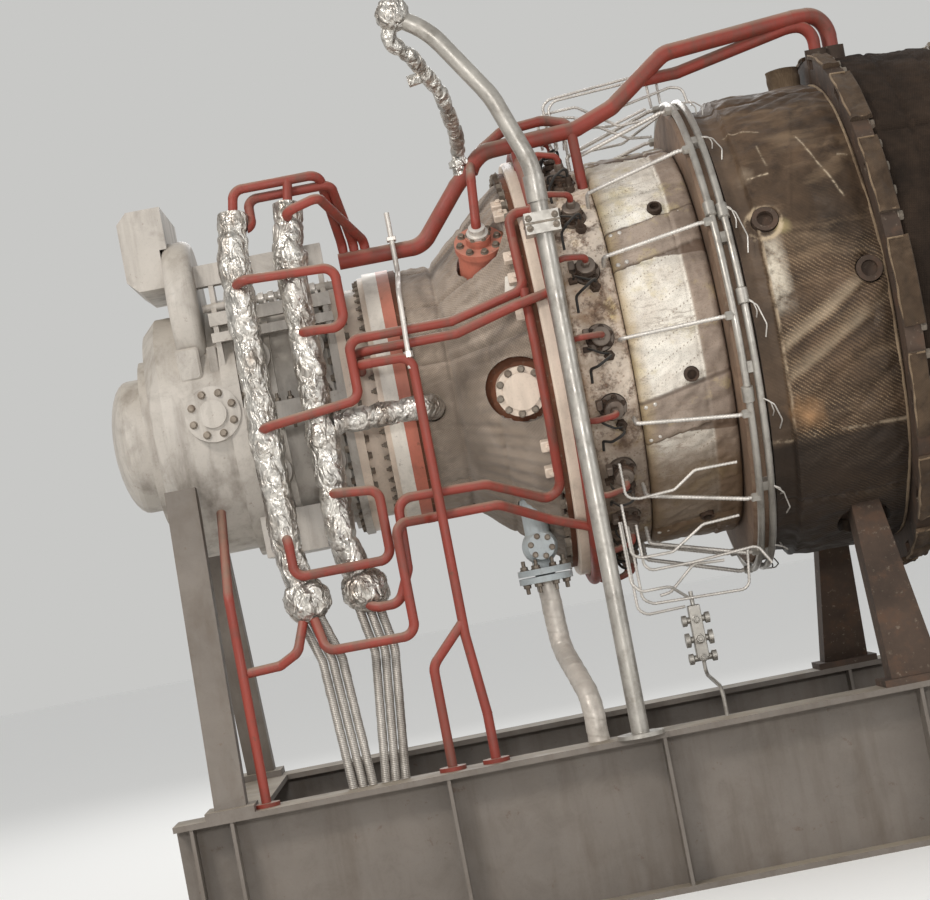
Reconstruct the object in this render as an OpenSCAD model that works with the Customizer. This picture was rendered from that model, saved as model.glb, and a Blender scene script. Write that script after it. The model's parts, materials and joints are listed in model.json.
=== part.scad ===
// Industrial gas turbine on its base frame, about 25 MW size.
// +X runs along the shaft from the air intake to the exhaust, -Y is the service side, +Z is up.
// The origin is on the floor, under the middle cross beam of the base frame.
// Stations along the shaft are X values; radii are measured from the shaft line.

/* [Base frame] */
// Height of the shaft line above the floor
axis_h = 1900; // [1860:10:2100]
// Front end of the long beams
base_x0 = -1700; // [-1800:10:-1650]
// Rear end of the long beams
base_x1 = 1900; // [1860:10:2100]
// Distance between the webs of the two long beams
base_gauge = 1500; // [1450:10:1560]
// Depth of the long beams
beam_h = 550; // [500:10:600]
// Flange width of the long beams
beam_w = 210; // [190:5:240]
// Flange thickness of the beams
beam_flange = 20; // [14:1:24]
// Web thickness of the beams
beam_web = 12; // [8:1:16]
// Depth of the cross beams
cross_h = 400; // [300:10:450]
// Diameter of the anchor bolt holes
anchor_hole_d = 26; // [22:1:32]
// Spacing along X of the anchor bolts
anchor_pitch = 3200; // [3000:10:3400]

/* [Supports] */
// Station of the front support
front_support_x = -1500; // [-1510:5:-1490]
// Station of the rear support
rear_support_x = 893; // [860:1:930]
// Width along X of the front legs
front_leg_w = 110; // [90:5:120]
// Width along X of the rear legs at the top
rear_leg_top = 100; // [80:5:120]
// Width along X of the rear legs at the foot
rear_leg_foot = 175; // [150:5:200]
// Thickness of the foot plates
support_plate = 24; // [16:1:30]

/* [Intake] */
// Station of the front face of the bearing nose
nose_x = -1750; // [-1800:5:-1700]
// Station of the front face of the intake barrel
intake_x = -1560; // [-1570:5:-1555]
// Station of the joint between intake barrel and compressor
intake_end_x = -1250; // [-1255:1:-1245]
// Outer radius of the intake barrel
intake_r = 455; // [440:5:470]
// Station of the housing disc
disc_x = -1425; // [-1435:5:-1410]
// Radius of the housing disc
disc_r = 275; // [260:5:300]
// Thickness of the housing disc
disc_t = 108; // [90:2:120]
// Diameter of the round cover on the barrel
cover_d = 200; // [180:5:220]

/* [Compressor] */
// Radius of the compressor casing
comp_r = 430; // [415:5:440]
// Thickness of each compressor flange
comp_flange_t = 30; // [22:1:36]
// Station of the end of the grey casing
comp_end_x = -850; // [-855:1:-845]
// Station of the end of the cream casing
rear_comp_end_x = -722; // [-726:1:-718]
// Thickness of the white flange ring
white_ring_t = 52; // [48:1:56]
// Thickness of the red flange ring
red_ring_t = 45; // [40:1:48]
// Diameter of the bleed ports on the casing
port_d = 120; // [110:2:130]

/* [Diffuser and combustor] */
// Station of the start of the diffuser cone
cone_x0 = -470; // [-480:5:-460]
// Station of the end of the diffuser cone
cone_x1 = -137; // [-142:1:-132]
// Radius of the diffuser where the cone starts
cone_r0 = 425; // [415:5:435]
// Radius of the diffuser where the cone ends
cone_r1 = 690; // [680:5:695]
// Thickness of the blanket on the diffuser
diffuser_blanket_t = 36; // [30:1:40]
// Radius of the combustor front flange
comb_flange_r = 785; // [775:5:790]
// Thickness of the combustor front flange
comb_flange_t = 100; // [90:5:105]
// Radius of the combustor casing
comb_r = 690; // [680:5:700]
// Number of burners round the combustor
burner_count = 18; // [14:1:18]
// Thickness of the foil blanket on the combustor
foil_blanket_t = 34; // [25:1:40]

/* [Turbine] */
// Station of the joint between combustor and turbine
turbine_x = 490; // [480:5:500]
// Radius of the turbine front flange
turbine_flange_r = 860; // [850:5:865]
// Thickness of the turbine front flange
turbine_flange_t = 80; // [70:5:85]
// Radius of the turbine casing under its blanket
turbine_r = 815; // [805:5:820]
// Station of the end of the turbine blanket
turbine_end_x = 1062; // [1055:1:1070]
// Thickness of the turbine blanket
turbine_blanket_t = 50; // [42:1:55]
// Radius of the power turbine casing
power_r = 905; // [895:5:910]
// Radius of the power turbine's front flange
power_flange_r = 950; // [940:5:955]
// Station of the end of the power turbine casing
power_end_x = 1600; // [1580:5:1620]
// Station of the exhaust flange face
exhaust_x = 2020; // [1980:5:2060]

/* [Bleed pipes] */
// Diameter of the foil wrapped bleed pipes
bleed_d = 108; // [100:2:114]
// Distance of the bleed pipes from the shaft towards the service side
bleed_reach = 650; // [640:5:665]
// Station of the front bleed pipe
front_bleed_x = -1152; // [-1158:1:-1146]
// Station of the rear bleed pipe
rear_bleed_x = -956; // [-962:1:-950]
// Diameter of the wrapped foot of a bleed pipe
bleed_foot_d = 170; // [160:2:180]

/* [Pipes] */
// Diameter of the small red pipes
red_d = 34; // [28:1:36]
// Diameter of the red header pipe
header_d = 60; // [50:1:64]
// Diameter of the second red header pipe
second_header_d = 46; // [38:1:50]
// Diameter of the stainless riser
riser_d = 62; // [54:1:68]
// Diameter of the drain hose
hose_d = 76; // [60:1:90]
// Diameter of the ring tubes on the turbine flange
ring_tube_d = 26; // [20:1:28]
// Diameter of the fuel manifold ring
manifold_d = 42; // [34:1:46]
// Diameter of the thin instrument tubes
tube_d = 12; // [8:1:14]

/* [Hidden] */
$fn = 96;

grey_paint = [0.74, 0.73, 0.69];
cream_paint = [0.84, 0.77, 0.70];
white_paint = [0.88, 0.85, 0.80];
red_paint = [0.75, 0.29, 0.21];
salmon_paint = [0.75, 0.43, 0.36];
frame_paint = [0.36, 0.34, 0.32];
dark_metal = [0.28, 0.23, 0.19];
steel = [0.60, 0.58, 0.55];
foil = [0.82, 0.81, 0.78];
beige_cloth = [0.65, 0.59, 0.53];
brown_cloth = [0.47, 0.39, 0.31];

// Clearance between two pieces that seat on each other along a curved face
seat = 0.3;
// How much thicker an elbow is than its pipe, and how far the pipe goes into it
elbow_step = 1.2;
elbow_lap = 1.5;
// A cut reaches this far past the face that it opens
past = 1;

// Radius of the compressor flanges, and of the exhaust flange
comp_flange_r = intake_r + 30;
exhaust_r = power_flange_r;
// Top of the long beams, seen from the shaft line
deck_z = beam_h - axis_h;
// Plane of the bleed pipe axes, and the plane of the red pipes in front of them
bleed_y = -bleed_reach;
red_y = bleed_y - bleed_d / 2 - red_d / 2 - 4;
// Flat face of the bleed ports
port_y = -(comp_flange_r - 5);
port_z = 210;
// End of the red ring and of the combustor front flange
red_ring_end = rear_comp_end_x + white_ring_t + red_ring_t;
comb_x0 = cone_x1 + comb_flange_t;
// Station of the burners and of the fuel manifold ring, and the ring's radius
burner_x = comb_x0 + 95;
manifold_x = comb_x0 - 42;
manifold_r = comb_flange_r + manifold_d / 2 + 2;
burner_top = comb_r + 70;
burner_turn = 8.2;
turbine_x1 = turbine_x + turbine_flange_t;
ring_tube_r = turbine_flange_r + ring_tube_d / 2 + 10;

function unit(v) = v / norm(v);
function turn_between(a, b) = acos(min(1, max(-1, a * b)));

// Frame with the shaft line at Z = 0
module on_shaft() {
    translate([0, 0, axis_h]) children();
}

// Turns about the shaft; the angle is measured up from the service side
module at_elevation(angle) {
    rotate([90 - angle, 0, 0]) children();
}

// A solid of revolution about the shaft; the profile is a list of [radius, station]
module revolve(profile) {
    on_shaft() rotate([0, 90, 0]) rotate_extrude() polygon(profile);
}

// A flat ring on the shaft line
module ring(x, t, r_out, r_in = 0) {
    revolve([[r_in, x], [r_out, x], [r_out, x + t], [r_in, x + t]]);
}

// Puts the children with their +Z along a direction
module along(start, direction) {
    tilt = acos(direction.z / norm(direction));
    heading = atan2(direction.y, direction.x);
    translate(start) rotate([0, tilt, heading]) children();
}

// A straight round bar from one point to another
module bar(p, q, d) {
    along(p, q - p) cylinder(h = norm(q - p), d = d, $fn = 32);
}

// A pipe through the points; its elbows are fittings a little thicker than the straight legs
module pipe_run(points, d, bend_r) {
    last = len(points) - 1;
    dirs = [for (i = [0:last - 1]) unit(points[i + 1] - points[i])];
    trims = [for (i = [0:last])
        (i == 0 || i == last) ? 0 : bend_r * tan(turn_between(dirs[i - 1], dirs[i]) / 2) - elbow_lap];
    for (i = [0:last - 1]) {
        leg = norm(points[i + 1] - points[i]) - trims[i] - trims[i + 1];
        along(points[i] + dirs[i] * trims[i], dirs[i]) cylinder(h = leg, d = d, $fn = 24);
    }
    for (i = [1:1:last - 1])
        elbow(points[i], dirs[i - 1], dirs[i], d + elbow_step, bend_r);
}

// Part of a ring that joins two straight legs at a corner
module elbow(corner, d_in, d_out, d, bend_r) {
    turn = turn_between(d_in, d_out);
    normal = unit(cross(d_in, d_out));
    side = cross(normal, d_in);
    centre = corner - d_in * bend_r * tan(turn / 2) + side * bend_r;
    multmatrix([
        [-side.x, d_in.x, normal.x, centre.x],
        [-side.y, d_in.y, normal.y, centre.y],
        [-side.z, d_in.z, normal.z, centre.z],
        [0, 0, 0, 1]
    ])
        rotate_extrude(angle = turn) translate([bend_r, 0]) circle(d = d, $fn = 24);
}

// Foot flange of a pipe that stands on a long beam
module deck_flange(x, y, d) {
    translate([x, y, deck_z]) cylinder(h = 14, d = d + 60, $fn = 48);
}

// I section standing on Z = 0, for a beam along +X
module i_section(h, w) {
    web_h = h - 2 * beam_flange;
    translate([-w / 2, 0]) square([w, beam_flange]);
    translate([-beam_web / 2, beam_flange]) square([beam_web, web_h]);
    translate([-w / 2, h - beam_flange]) square([w, beam_flange]);
}

module i_beam(length, h, w) {
    rotate([90, 0, 90]) linear_extrude(length) i_section(h, w);
}

// Long beam with web stiffeners and anchor holes in its outer foot flange
module base_rail(side) {
    hole_y = side * (base_gauge / 2 + (beam_w + beam_web) / 4);
    inset = 4;
    stiffeners = [base_x0 + 60, front_support_x, front_support_x / 2, 0, rear_support_x, base_x1 - 120];
    color(frame_paint)
        difference() {
            union() {
                translate([base_x0, side * base_gauge / 2, 0])
                    i_beam(base_x1 - base_x0, beam_h, beam_w);
                for (x = stiffeners)
                    translate([x - beam_web / 2, side * base_gauge / 2 - beam_w / 2 + inset, beam_flange])
                        cube([beam_web, beam_w - 2 * inset, beam_h - 2 * beam_flange]);
            }
            for (x = [-anchor_pitch / 2, anchor_pitch / 2])
                translate([x + (base_x0 + base_x1) / 2, hole_y, -past])
                    cylinder(h = beam_flange + 2 * past, d = anchor_hole_d);
        }
}

module base_rail_near() {
    base_rail(-1);
}

module base_rail_far() {
    base_rail(1);
}

// Cross beam between the flanges of the long beams; its foot is at a height above the floor
module base_cross(x, foot) {
    span = base_gauge - beam_w;
    color(frame_paint)
        translate([x, span / 2, foot])
            rotate([0, 0, -90]) i_beam(span, cross_h, beam_w);
}

module base_cross_front() {
    base_cross(front_support_x, beam_h - cross_h);
}

// The middle beam stands on the floor like the long beams
module base_cross_mid() {
    base_cross(0, 0);
}

module base_cross_rear() {
    base_cross(base_x1 - 120, beam_h - cross_h);
}

// A leg that leans from a foot plate on the long beam to the side of a casing
module leg(x, side, foot_w, top_w, top_y, top_z, casing_r, depth) {
    foot_y = base_gauge / 2;
    bottom = deck_z + support_plate;
    difference() {
        on_shaft()
            union() {
                translate([x - foot_w / 2 - 30, side * foot_y - beam_w / 2, deck_z])
                    cube([foot_w + 60, beam_w, support_plate]);
                hull() {
                    translate([x - foot_w / 2, side * foot_y - depth / 2, bottom])
                        cube([foot_w, depth, past]);
                    translate([x - top_w / 2, side * top_y - depth / 2, top_z])
                        cube([top_w, depth, past]);
                }
            }
        ring(x - 200, 400, casing_r + seat);
    }
}

// Front leg: a slender post up to the side of the intake barrel
module front_leg(side) {
    color(frame_paint)
        leg(front_support_x, side, front_leg_w, front_leg_w, intake_r - 40, -210, intake_r, 100);
}

module front_leg_near() {
    front_leg(-1);
}

module front_leg_far() {
    front_leg(1);
}

// Rear leg: a tapered post up to the underside of the turbine casing
module rear_leg(side) {
    color(dark_metal)
        leg(rear_support_x, side, rear_leg_foot, rear_leg_top, turbine_r / 2, -turbine_r + 120, turbine_r, 130);
}

module rear_leg_near() {
    rear_leg(-1);
}

module rear_leg_far() {
    rear_leg(1);
}

// Front bearing housing with its domed end and bolting flange
module bearing_nose() {
    hub_r = 250;
    dome = 90;
    flange_r = hub_r + 60;
    flange_t = 40;
    profile = concat(
        [[0, nose_x]],
        [for (a = [10:10:90]) [hub_r * sin(a), nose_x + dome * (1 - cos(a))]],
        [[hub_r, intake_x - flange_t], [flange_r, intake_x - flange_t], [flange_r, intake_x],
        [0, intake_x]]
    );
    color(grey_paint) revolve(profile);
}

// Intake barrel with its rear flange
module intake_barrel() {
    edge = 50;
    profile = [
        [0, intake_x], [intake_r - edge, intake_x], [intake_r, intake_x + edge],
        [intake_r, intake_end_x - comp_flange_t], [comp_flange_r, intake_end_x - comp_flange_t],
        [comp_flange_r, intake_end_x], [0, intake_end_x]
    ];
    color(grey_paint) revolve(profile);
}

// Height of the housing disc's middle over the shaft, and how far it stands to the service side
disc_z = intake_r - 25;
disc_y = -170;

// Thick disc with a rounded rim that stands on the top of the barrel
module housing_disc() {
    edge = disc_t / 3;
    profile = concat(
        [[0, 0]],
        [for (a = [0:15:90]) [disc_r - edge + edge * sin(a), edge - edge * cos(a)]],
        [for (a = [0:15:90]) [disc_r - edge + edge * cos(a), disc_t - edge + edge * sin(a)]],
        [[0, disc_t]]
    );
    color(grey_paint)
        difference() {
            on_shaft() translate([disc_x, disc_y, disc_z]) rotate([0, 90, 0])
                rotate_extrude() polygon(profile);
            ring(intake_x, intake_end_x - comp_flange_t - intake_x, intake_r + seat);
        }
}

// Box housing that sits on the disc, with its bevelled edges
module top_housing() {
    depth = 165;
    low = disc_z + 105;
    high = disc_z + 400;
    bevel = 40;
    back = disc_x + 27;
    outline = [
        [back, low], [back - depth + bevel, low], [back - depth, low + bevel],
        [back - depth, high - bevel], [back - depth + bevel, high], [back, high]
    ];
    color(grey_paint)
        on_shaft()
            difference() {
                translate([0, 260, 0]) rotate([90, 0, 0]) linear_extrude(560) polygon(outline);
                translate([disc_x - seat, disc_y, disc_z]) rotate([0, 90, 0])
                    cylinder(h = disc_t, r = disc_r + seat);
            }
}

// Round bolted cover on the barrel's service side
module round_cover() {
    cover_x = intake_end_x - 81;
    cover_z = 33;
    face = intake_r + 38;
    color(grey_paint)
        difference() {
            on_shaft() translate([cover_x, 0, cover_z]) rotate([90, 0, 0]) {
                translate([0, 0, intake_r / 2]) cylinder(h = face - intake_r / 2 - 14, d = cover_d - 24);
                translate([0, 0, face - 14]) cylinder(h = 14, d = cover_d);
                translate([0, 0, face]) cylinder(h = 12, d = cover_d / 2);
            }
            ring(intake_x, intake_end_x - comp_flange_t - intake_x, intake_r + seat);
            ring(intake_end_x - comp_flange_t - seat, comp_flange_t + 60, comp_flange_r + seat);
        }
}

// Bleed port on the compressor casing, with its flat face towards the service side
module bleed_port(x, z) {
    on_shaft() translate([x, port_y, z]) rotate([-90, 0, 0]) cylinder(h = 200, d = port_d);
}

// Grey compressor casing with flanges, level split flange, ribs, ports and belly beam
module compressor_casing() {
    t = comp_flange_t;
    profile = [
        [0, intake_end_x], [comp_flange_r, intake_end_x], [comp_flange_r, intake_end_x + t],
        [comp_r, intake_end_x + t], [comp_r, comp_end_x - t],
        [comp_flange_r, comp_end_x - t], [comp_flange_r, comp_end_x], [0, comp_end_x]
    ];
    split_t = 70;
    rib_t = 22;
    rib_h = 26;
    length = comp_end_x - intake_end_x;
    rib_count = 4;
    color(grey_paint)
        union() {
            revolve(profile);
            on_shaft() translate([intake_end_x + t / 2, -comp_flange_r + 3, -split_t / 2])
                cube([length - t, 2 * comp_flange_r - 6, split_t]);
            for (i = [0:rib_count - 1])
                ring(intake_end_x + (i + 0.5) * length / rib_count - rib_t / 2, rib_t, comp_r + rib_h);
            for (x = [front_bleed_x, rear_bleed_x])
                for (z = [-port_z, port_z])
                    bleed_port(x, z);
            on_shaft() translate([intake_end_x + 5, -330, -505]) cube([225, 660, 160]);
        }
}

// Guide vane gear on the upper service side: four bars between two bracket plates
module vane_linkage() {
    x0 = intake_end_x - comp_flange_t / 2;
    x1 = comp_end_x - comp_flange_t / 2;
    plate_t = 18;
    disc_end = disc_x + disc_t + seat;
    outline = [[-230, 420], [-262, 545], [-320, 530], [-350, 440], [-375, 425], [-400, 385],
        [-450, 375], [-462, 290], [-440, 200]];
    color(grey_paint)
        difference() {
            on_shaft()
                union() {
                    for (x = [x0, x1])
                        translate([x - plate_t / 2, 0, 0]) rotate([90, 0, 90])
                            linear_extrude(plate_t) polygon(outline);
                    translate([disc_end, -330, 508]) cube([x1 + plate_t - disc_end, 60, 78]);
                    translate([x0 - 40, -366, 421]) rotate([0, 90, 0]) cylinder(h = x1 - x0 + 80, d = 30);
                    translate([x0 - 20, -460, 345]) cube([x1 - x0 + 40, 42, 47]);
                    translate([x0 - 20, -474, 284]) cube([x1 - x0 + 40, 36, 34]);
                }
            ring(x0 - 60, x1 - x0 + 160, comp_flange_r + seat);
        }
}

// Cream rear compressor casing
module cream_casing() {
    front_r = comp_flange_r - 8;
    rear_r = comp_flange_r - 20;
    front_t = 32;
    rear_t = 20;
    profile = [
        [0, comp_end_x], [front_r, comp_end_x], [front_r, comp_end_x + front_t],
        [comp_r, comp_end_x + front_t], [comp_r, rear_comp_end_x - rear_t],
        [rear_r, rear_comp_end_x - rear_t], [rear_r, rear_comp_end_x], [0, rear_comp_end_x]
    ];
    color(cream_paint) revolve(profile);
}

module white_flange_ring() {
    color(white_paint) ring(rear_comp_end_x, white_ring_t, comp_flange_r - 8);
}

module red_flange_ring() {
    color(salmon_paint)
        ring(rear_comp_end_x + white_ring_t, red_ring_t, comp_flange_r - 8);
}

// Outline of the diffuser: flange, short barrel and cone that opens to the combustor
function diffuser_profile(extra) = [
    [0, red_ring_end], [comp_flange_r - 14, red_ring_end], [comp_flange_r - 14, red_ring_end + 24],
    [cone_r0 + extra, red_ring_end + 24], [cone_r0 + extra, cone_x0], [cone_r1 + extra, cone_x1 - 20],
    [cone_r1 + 60, cone_x1 - 20], [cone_r1 + 60, cone_x1], [0, cone_x1]
];

module diffuser_casing() {
    color(dark_metal) revolve(diffuser_profile(0));
}

// Stations and angles of the two bosses on the cone, and how far out they start
upper_boss_x = -283;
upper_boss_turn = 45;
side_boss_x = -246;
side_boss_turn = -8.7;
boss_start = 380;
upper_boss_d = 178;
upper_boss_end = 686;
side_boss_d = 172;

// Puts a boss axis on the cone
module boss_place(x, angle) {
    on_shaft() translate([x, 0, 0]) at_elevation(angle) children();
}

// Padded blanket round the diffuser barrel and cone, open round the bosses and pipes
module diffuser_blanket() {
    t = diffuser_blanket_t;
    gap = 4;
    x0 = red_ring_end + 24 + gap;
    x1 = cone_x1 - 20 - gap;
    r1 = cone_r1 - gap;
    profile = [
        [cone_r0 + seat, x0], [cone_r0 + t, x0], [cone_r0 + t, cone_x0 - t / 3],
        [r1 + t, x1], [r1 + seat, x1], [cone_r0 + seat, cone_x0 - seat / 3]
    ];
    color(beige_cloth)
        difference() {
            revolve(profile);
            boss_place(upper_boss_x, upper_boss_turn) cylinder(h = 900, d = upper_boss_d + 2 * gap);
            boss_place(side_boss_x, side_boss_turn) cylinder(h = 900, d = side_boss_d + 2 * gap);
            on_shaft() translate([branch_x, 0, branch_z]) rotate([90, 0, 0])
                cylinder(h = 900, d = branch_d + 2 * gap);
            on_shaft() translate([valve_x, valve_y, -900]) cylinder(h = 700, d = valve_neck_d + 2 * gap);
        }
}

// Truncated boss with its bolted flange and cap on the upper service side of the cone
module upper_boss() {
    neck_end = 630;
    flange_t = 26;
    color(salmon_paint)
        difference() {
            boss_place(upper_boss_x, upper_boss_turn) {
                translate([0, 0, boss_start])
                    cylinder(h = neck_end - boss_start, d1 = upper_boss_d, d2 = upper_boss_d - 18);
                translate([0, 0, neck_end]) cylinder(h = flange_t, d = upper_boss_d);
                translate([0, 0, neck_end + flange_t - past])
                    cylinder(h = upper_boss_end - neck_end - flange_t + past, d = 92);
            }
            revolve(diffuser_profile(seat));
        }
}
// Round boss with its blank flange on the service side of the cone
module side_boss() {
    neck_end = 706;
    flange_t = 18;
    color(cream_paint)
        difference() {
            boss_place(side_boss_x, side_boss_turn) {
                translate([0, 0, boss_start])
                    cylinder(h = neck_end - boss_start, d1 = side_boss_d, d2 = side_boss_d - 16);
                translate([0, 0, neck_end]) cylinder(h = flange_t, d = side_boss_d + 4);
                translate([0, 0, neck_end + flange_t - past]) cylinder(h = 8, d = side_boss_d - 40);
            }
            revolve(diffuser_profile(seat));
        }
}

// Combustor front flange
module combustor_flange() {
    edge = 8;
    profile = [
        [0, cone_x1], [comb_flange_r - edge, cone_x1], [comb_flange_r, cone_x1 + edge],
        [comb_flange_r, comb_x0 - edge], [comb_flange_r - edge, comb_x0], [0, comb_x0]
    ];
    color(cream_paint) revolve(profile);
}

// Combustor casing behind the flange
module combustor_casing() {
    color(dark_metal) ring(comb_x0, turbine_x - comb_x0, comb_r);
}

// Foil faced blanket round the combustor casing
module foil_blanket() {
    x0 = comb_x0 + 190;
    t = foil_blanket_t;
    edge = 10;
    x1 = turbine_x - 4;
    profile = [
        [comb_r + seat, x0], [comb_r + t - edge, x0], [comb_r + t, x0 + edge],
        [comb_r + t, x1 - edge], [comb_r + t - edge, x1], [comb_r + seat, x1]
    ];
    color(foil) revolve(profile);
}

// Places one copy of the children at each burner
module round_burners() {
    on_shaft()
        for (i = [0:burner_count - 1])
            rotate([360 * i / burner_count + burner_turn, 0, 0]) children();
}

// Burners: a ring of stepped plugs in the combustor casing
module burners() {
    foot_t = 26;
    color(steel)
        round_burners()
            translate([burner_x, 0, 0]) {
                translate([0, 0, comb_r + seat]) cylinder(h = foot_t, d = 96, $fn = 48);
                translate([0, 0, comb_r + foot_t - past]) cylinder(h = burner_top - comb_r - foot_t + past, d = 54, $fn = 48);
            }
}

// Fuel ring in front of the burners with one short bent pipe to each
module fuel_manifold() {
    color(red_paint) {
        on_shaft() translate([manifold_x, 0, 0]) rotate([0, 90, 0])
            rotate_extrude() translate([manifold_r, 0]) circle(d = manifold_d, $fn = 32);
        round_burners()
            pipe_run([
                [manifold_x, 0, manifold_r], [manifold_x + 62, 0, manifold_r + 34],
                [burner_x, 0, manifold_r + 14], [burner_x, 0, burner_top]
            ], 22, 26);
    }
}

// Cuts the ends of pipes that land on the fuel ring
module manifold_cut() {
    translate([manifold_x, 0, 0]) rotate([0, 90, 0])
        rotate_extrude() translate([manifold_r, 0]) circle(d = manifold_d + 2 * seat, $fn = 32);
}

// Turbine front flange with a stepped rim
module turbine_flange() {
    edge = 12;
    profile = [
        [0, turbine_x], [turbine_flange_r - edge, turbine_x], [turbine_flange_r, turbine_x + edge],
        [turbine_flange_r, turbine_x1 - edge], [turbine_flange_r - edge, turbine_x1], [0, turbine_x1]
    ];
    color(dark_metal) revolve(profile);
}

// Station of the first of the two tubes that run round the turbine flange
first_ring_x = turbine_x + 20;

// Two thin tubes that run round the turbine flange, with their clips
module ring_tubes() {
    clip_w = 40;
    clip_count = 12;
    tube_gap = 42;
    color(steel)
        difference() {
            on_shaft() {
                for (x = [first_ring_x, first_ring_x + tube_gap])
                    translate([x, 0, 0]) rotate([0, 90, 0])
                        rotate_extrude() translate([ring_tube_r, 0]) circle(d = ring_tube_d, $fn = 24);
                for (i = [0:clip_count - 1])
                    rotate([360 * i / clip_count + 12, 0, 0])
                        translate([turbine_x + 14, -clip_w / 2, turbine_flange_r - 6])
                            cube([turbine_flange_t - 28, clip_w, ring_tube_d / 2 + 20]);
            }
            ring(turbine_x - past, turbine_flange_t + 2 * past, turbine_flange_r + seat);
        }
}

// Station and elevation of each port through the turbine blanket
ports = [[689, 21], [1000, 4.7], [689, 159], [1000, 175.3]];
sight_port_d = 92;
top_boss_x = 985;
top_boss_d = 118;
leg_gap = 6;

// Turbine casing with the ports that stand out through the blanket
module turbine_casing() {
    color(dark_metal)
        union() {
            ring(turbine_x1, turbine_end_x - turbine_x1, turbine_r);
            on_shaft()
                for (port = ports)
                    translate([port[0], 0, 0]) at_elevation(port[1])
                        difference() {
                            translate([0, 0, turbine_r - 20])
                                cylinder(h = turbine_blanket_t + 26, d = sight_port_d, $fn = 48);
                            translate([0, 0, turbine_r + turbine_blanket_t - 20])
                                cylinder(h = 60, d = sight_port_d - 34, $fn = 48);
                        }
            on_shaft() translate([top_boss_x, 0, 0]) {
                cylinder(h = turbine_r + turbine_blanket_t + 60, d = top_boss_d);
                translate([0, 0, turbine_r + turbine_blanket_t + 30]) cylinder(h = 50, d = top_boss_d - 30);
            }
        }
}

// Thick woven blanket round the turbine casing, open round the ports and the rear legs
module turbine_blanket() {
    t = turbine_blanket_t;
    x0 = turbine_x1 + 8;
    profile = [
        [turbine_r + seat, x0], [turbine_r + t * 0.55, x0], [turbine_r + t * 0.9, x0 + 90],
        [turbine_r + t, x0 + 200], [turbine_r + t, turbine_end_x - 60],
        [turbine_r + t * 0.8, turbine_end_x - 2], [turbine_r + seat, turbine_end_x - 2]
    ];
    slot_w = rear_leg_foot + 2 * leg_gap;
    color(brown_cloth)
        difference() {
            revolve(profile);
            on_shaft()
                for (port = ports)
                    translate([port[0], 0, 0]) at_elevation(port[1])
                        translate([0, 0, turbine_r - 50]) cylinder(h = 200, d = sight_port_d + 4, $fn = 48);
            on_shaft() translate([top_boss_x, 0, 0]) cylinder(h = 2 * turbine_r, d = top_boss_d + 8);
            for (side = [-1, 1])
                on_shaft() translate([rear_support_x - slot_w / 2, side > 0 ? 250 : -620, -1000])
                    cube([slot_w, 370, 600]);
        }
}

// Header ports on top of the power turbine casing
first_port_x = 1165;
first_port_turn = 83.5;
second_port_x = 1098;
second_port_turn = 81;
header_port_top = power_flange_r + 35;

// Power turbine casing: notched front flange, barrel, rear flange and the header ports
module power_turbine_casing() {
    flange_t = 62;
    step = 22;
    notch_count = 14;
    notch_w = 74;
    notch_d = 38;
    profile = [
        [0, turbine_end_x], [power_flange_r, turbine_end_x], [power_flange_r, turbine_end_x + flange_t],
        [power_r, turbine_end_x + flange_t], [power_r - step, power_end_x - 90],
        [power_r + step, power_end_x - 50], [power_r + step, power_end_x], [0, power_end_x]
    ];
    color(dark_metal)
        union() {
            difference() {
                revolve(profile);
                on_shaft()
                    for (i = [0:notch_count - 1])
                        rotate([360 * (i + 0.5) / notch_count, 0, 0])
                            translate([turbine_end_x - past, -notch_w / 2, power_flange_r - notch_d])
                                cube([flange_t - 14, notch_w, notch_d + 20]);
            }
            on_shaft() {
                translate([first_port_x, 0, 0]) at_elevation(first_port_turn)
                    translate([0, 0, power_r - 60]) cylinder(h = header_port_top - power_r + 60, d = 96);
                translate([second_port_x, 0, 0]) at_elevation(second_port_turn)
                    translate([0, 0, power_r - 60]) cylinder(h = header_port_top - power_r + 60, d = 80);
            }
        }
}

// Exhaust casing: outer cone, hub and eight struts round the open gas path, with a bolted flange
module exhaust_casing() {
    wall = 40;
    hub_r = 420;
    start_r = power_r + 22;
    flange_t = 45;
    hole_count = 12;
    outer = [
        [0, power_end_x], [start_r, power_end_x], [start_r, power_end_x + 40],
        [power_r - 40, power_end_x + 60], [exhaust_r - 60, exhaust_x - flange_t],
        [exhaust_r, exhaust_x - flange_t], [exhaust_r, exhaust_x],
        [exhaust_r - 60 - wall, exhaust_x], [power_r - 40 - wall, power_end_x + 90],
        [hub_r, power_end_x + 90], [hub_r - 60, exhaust_x - 60], [0, exhaust_x - 40]
    ];
    color(dark_metal)
        difference() {
            revolve(outer);
            on_shaft()
                for (i = [0:hole_count - 1])
                    rotate([360 * (i + 0.5) / hole_count, 0, 0])
                        translate([exhaust_x - flange_t - past, 0, exhaust_r - 26]) rotate([0, 90, 0])
                            cylinder(h = flange_t + 2 * past, d = anchor_hole_d);
        }
}

// Where a bleed pipe ends at the top, and the direction it points there
bleed_lean = [30, 40, 180];
function bleed_top(x) = [x + bleed_lean.x, bleed_y + bleed_lean.y, 700];
foot_z = -680;
front_foot_x = front_bleed_x + 34;
rear_foot_x = rear_bleed_x + 46;

// Foil wrapped bleed pipe with two branches to the casing and its thick wrapped foot
module bleed_pipe(x, foot_x) {
    color(foil)
        on_shaft() {
            pipe_run([bleed_top(x), bleed_top(x) - bleed_lean, [x, bleed_y, -500],
                [foot_x, bleed_y, foot_z]], bleed_d, 150);
            for (z = [-port_z, port_z])
                bar([x, bleed_y, z], [x, port_y, z], bleed_d - 28);
            translate([foot_x, bleed_y, foot_z]) sphere(d = bleed_foot_d, $fn = 48);
        }
}

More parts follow.
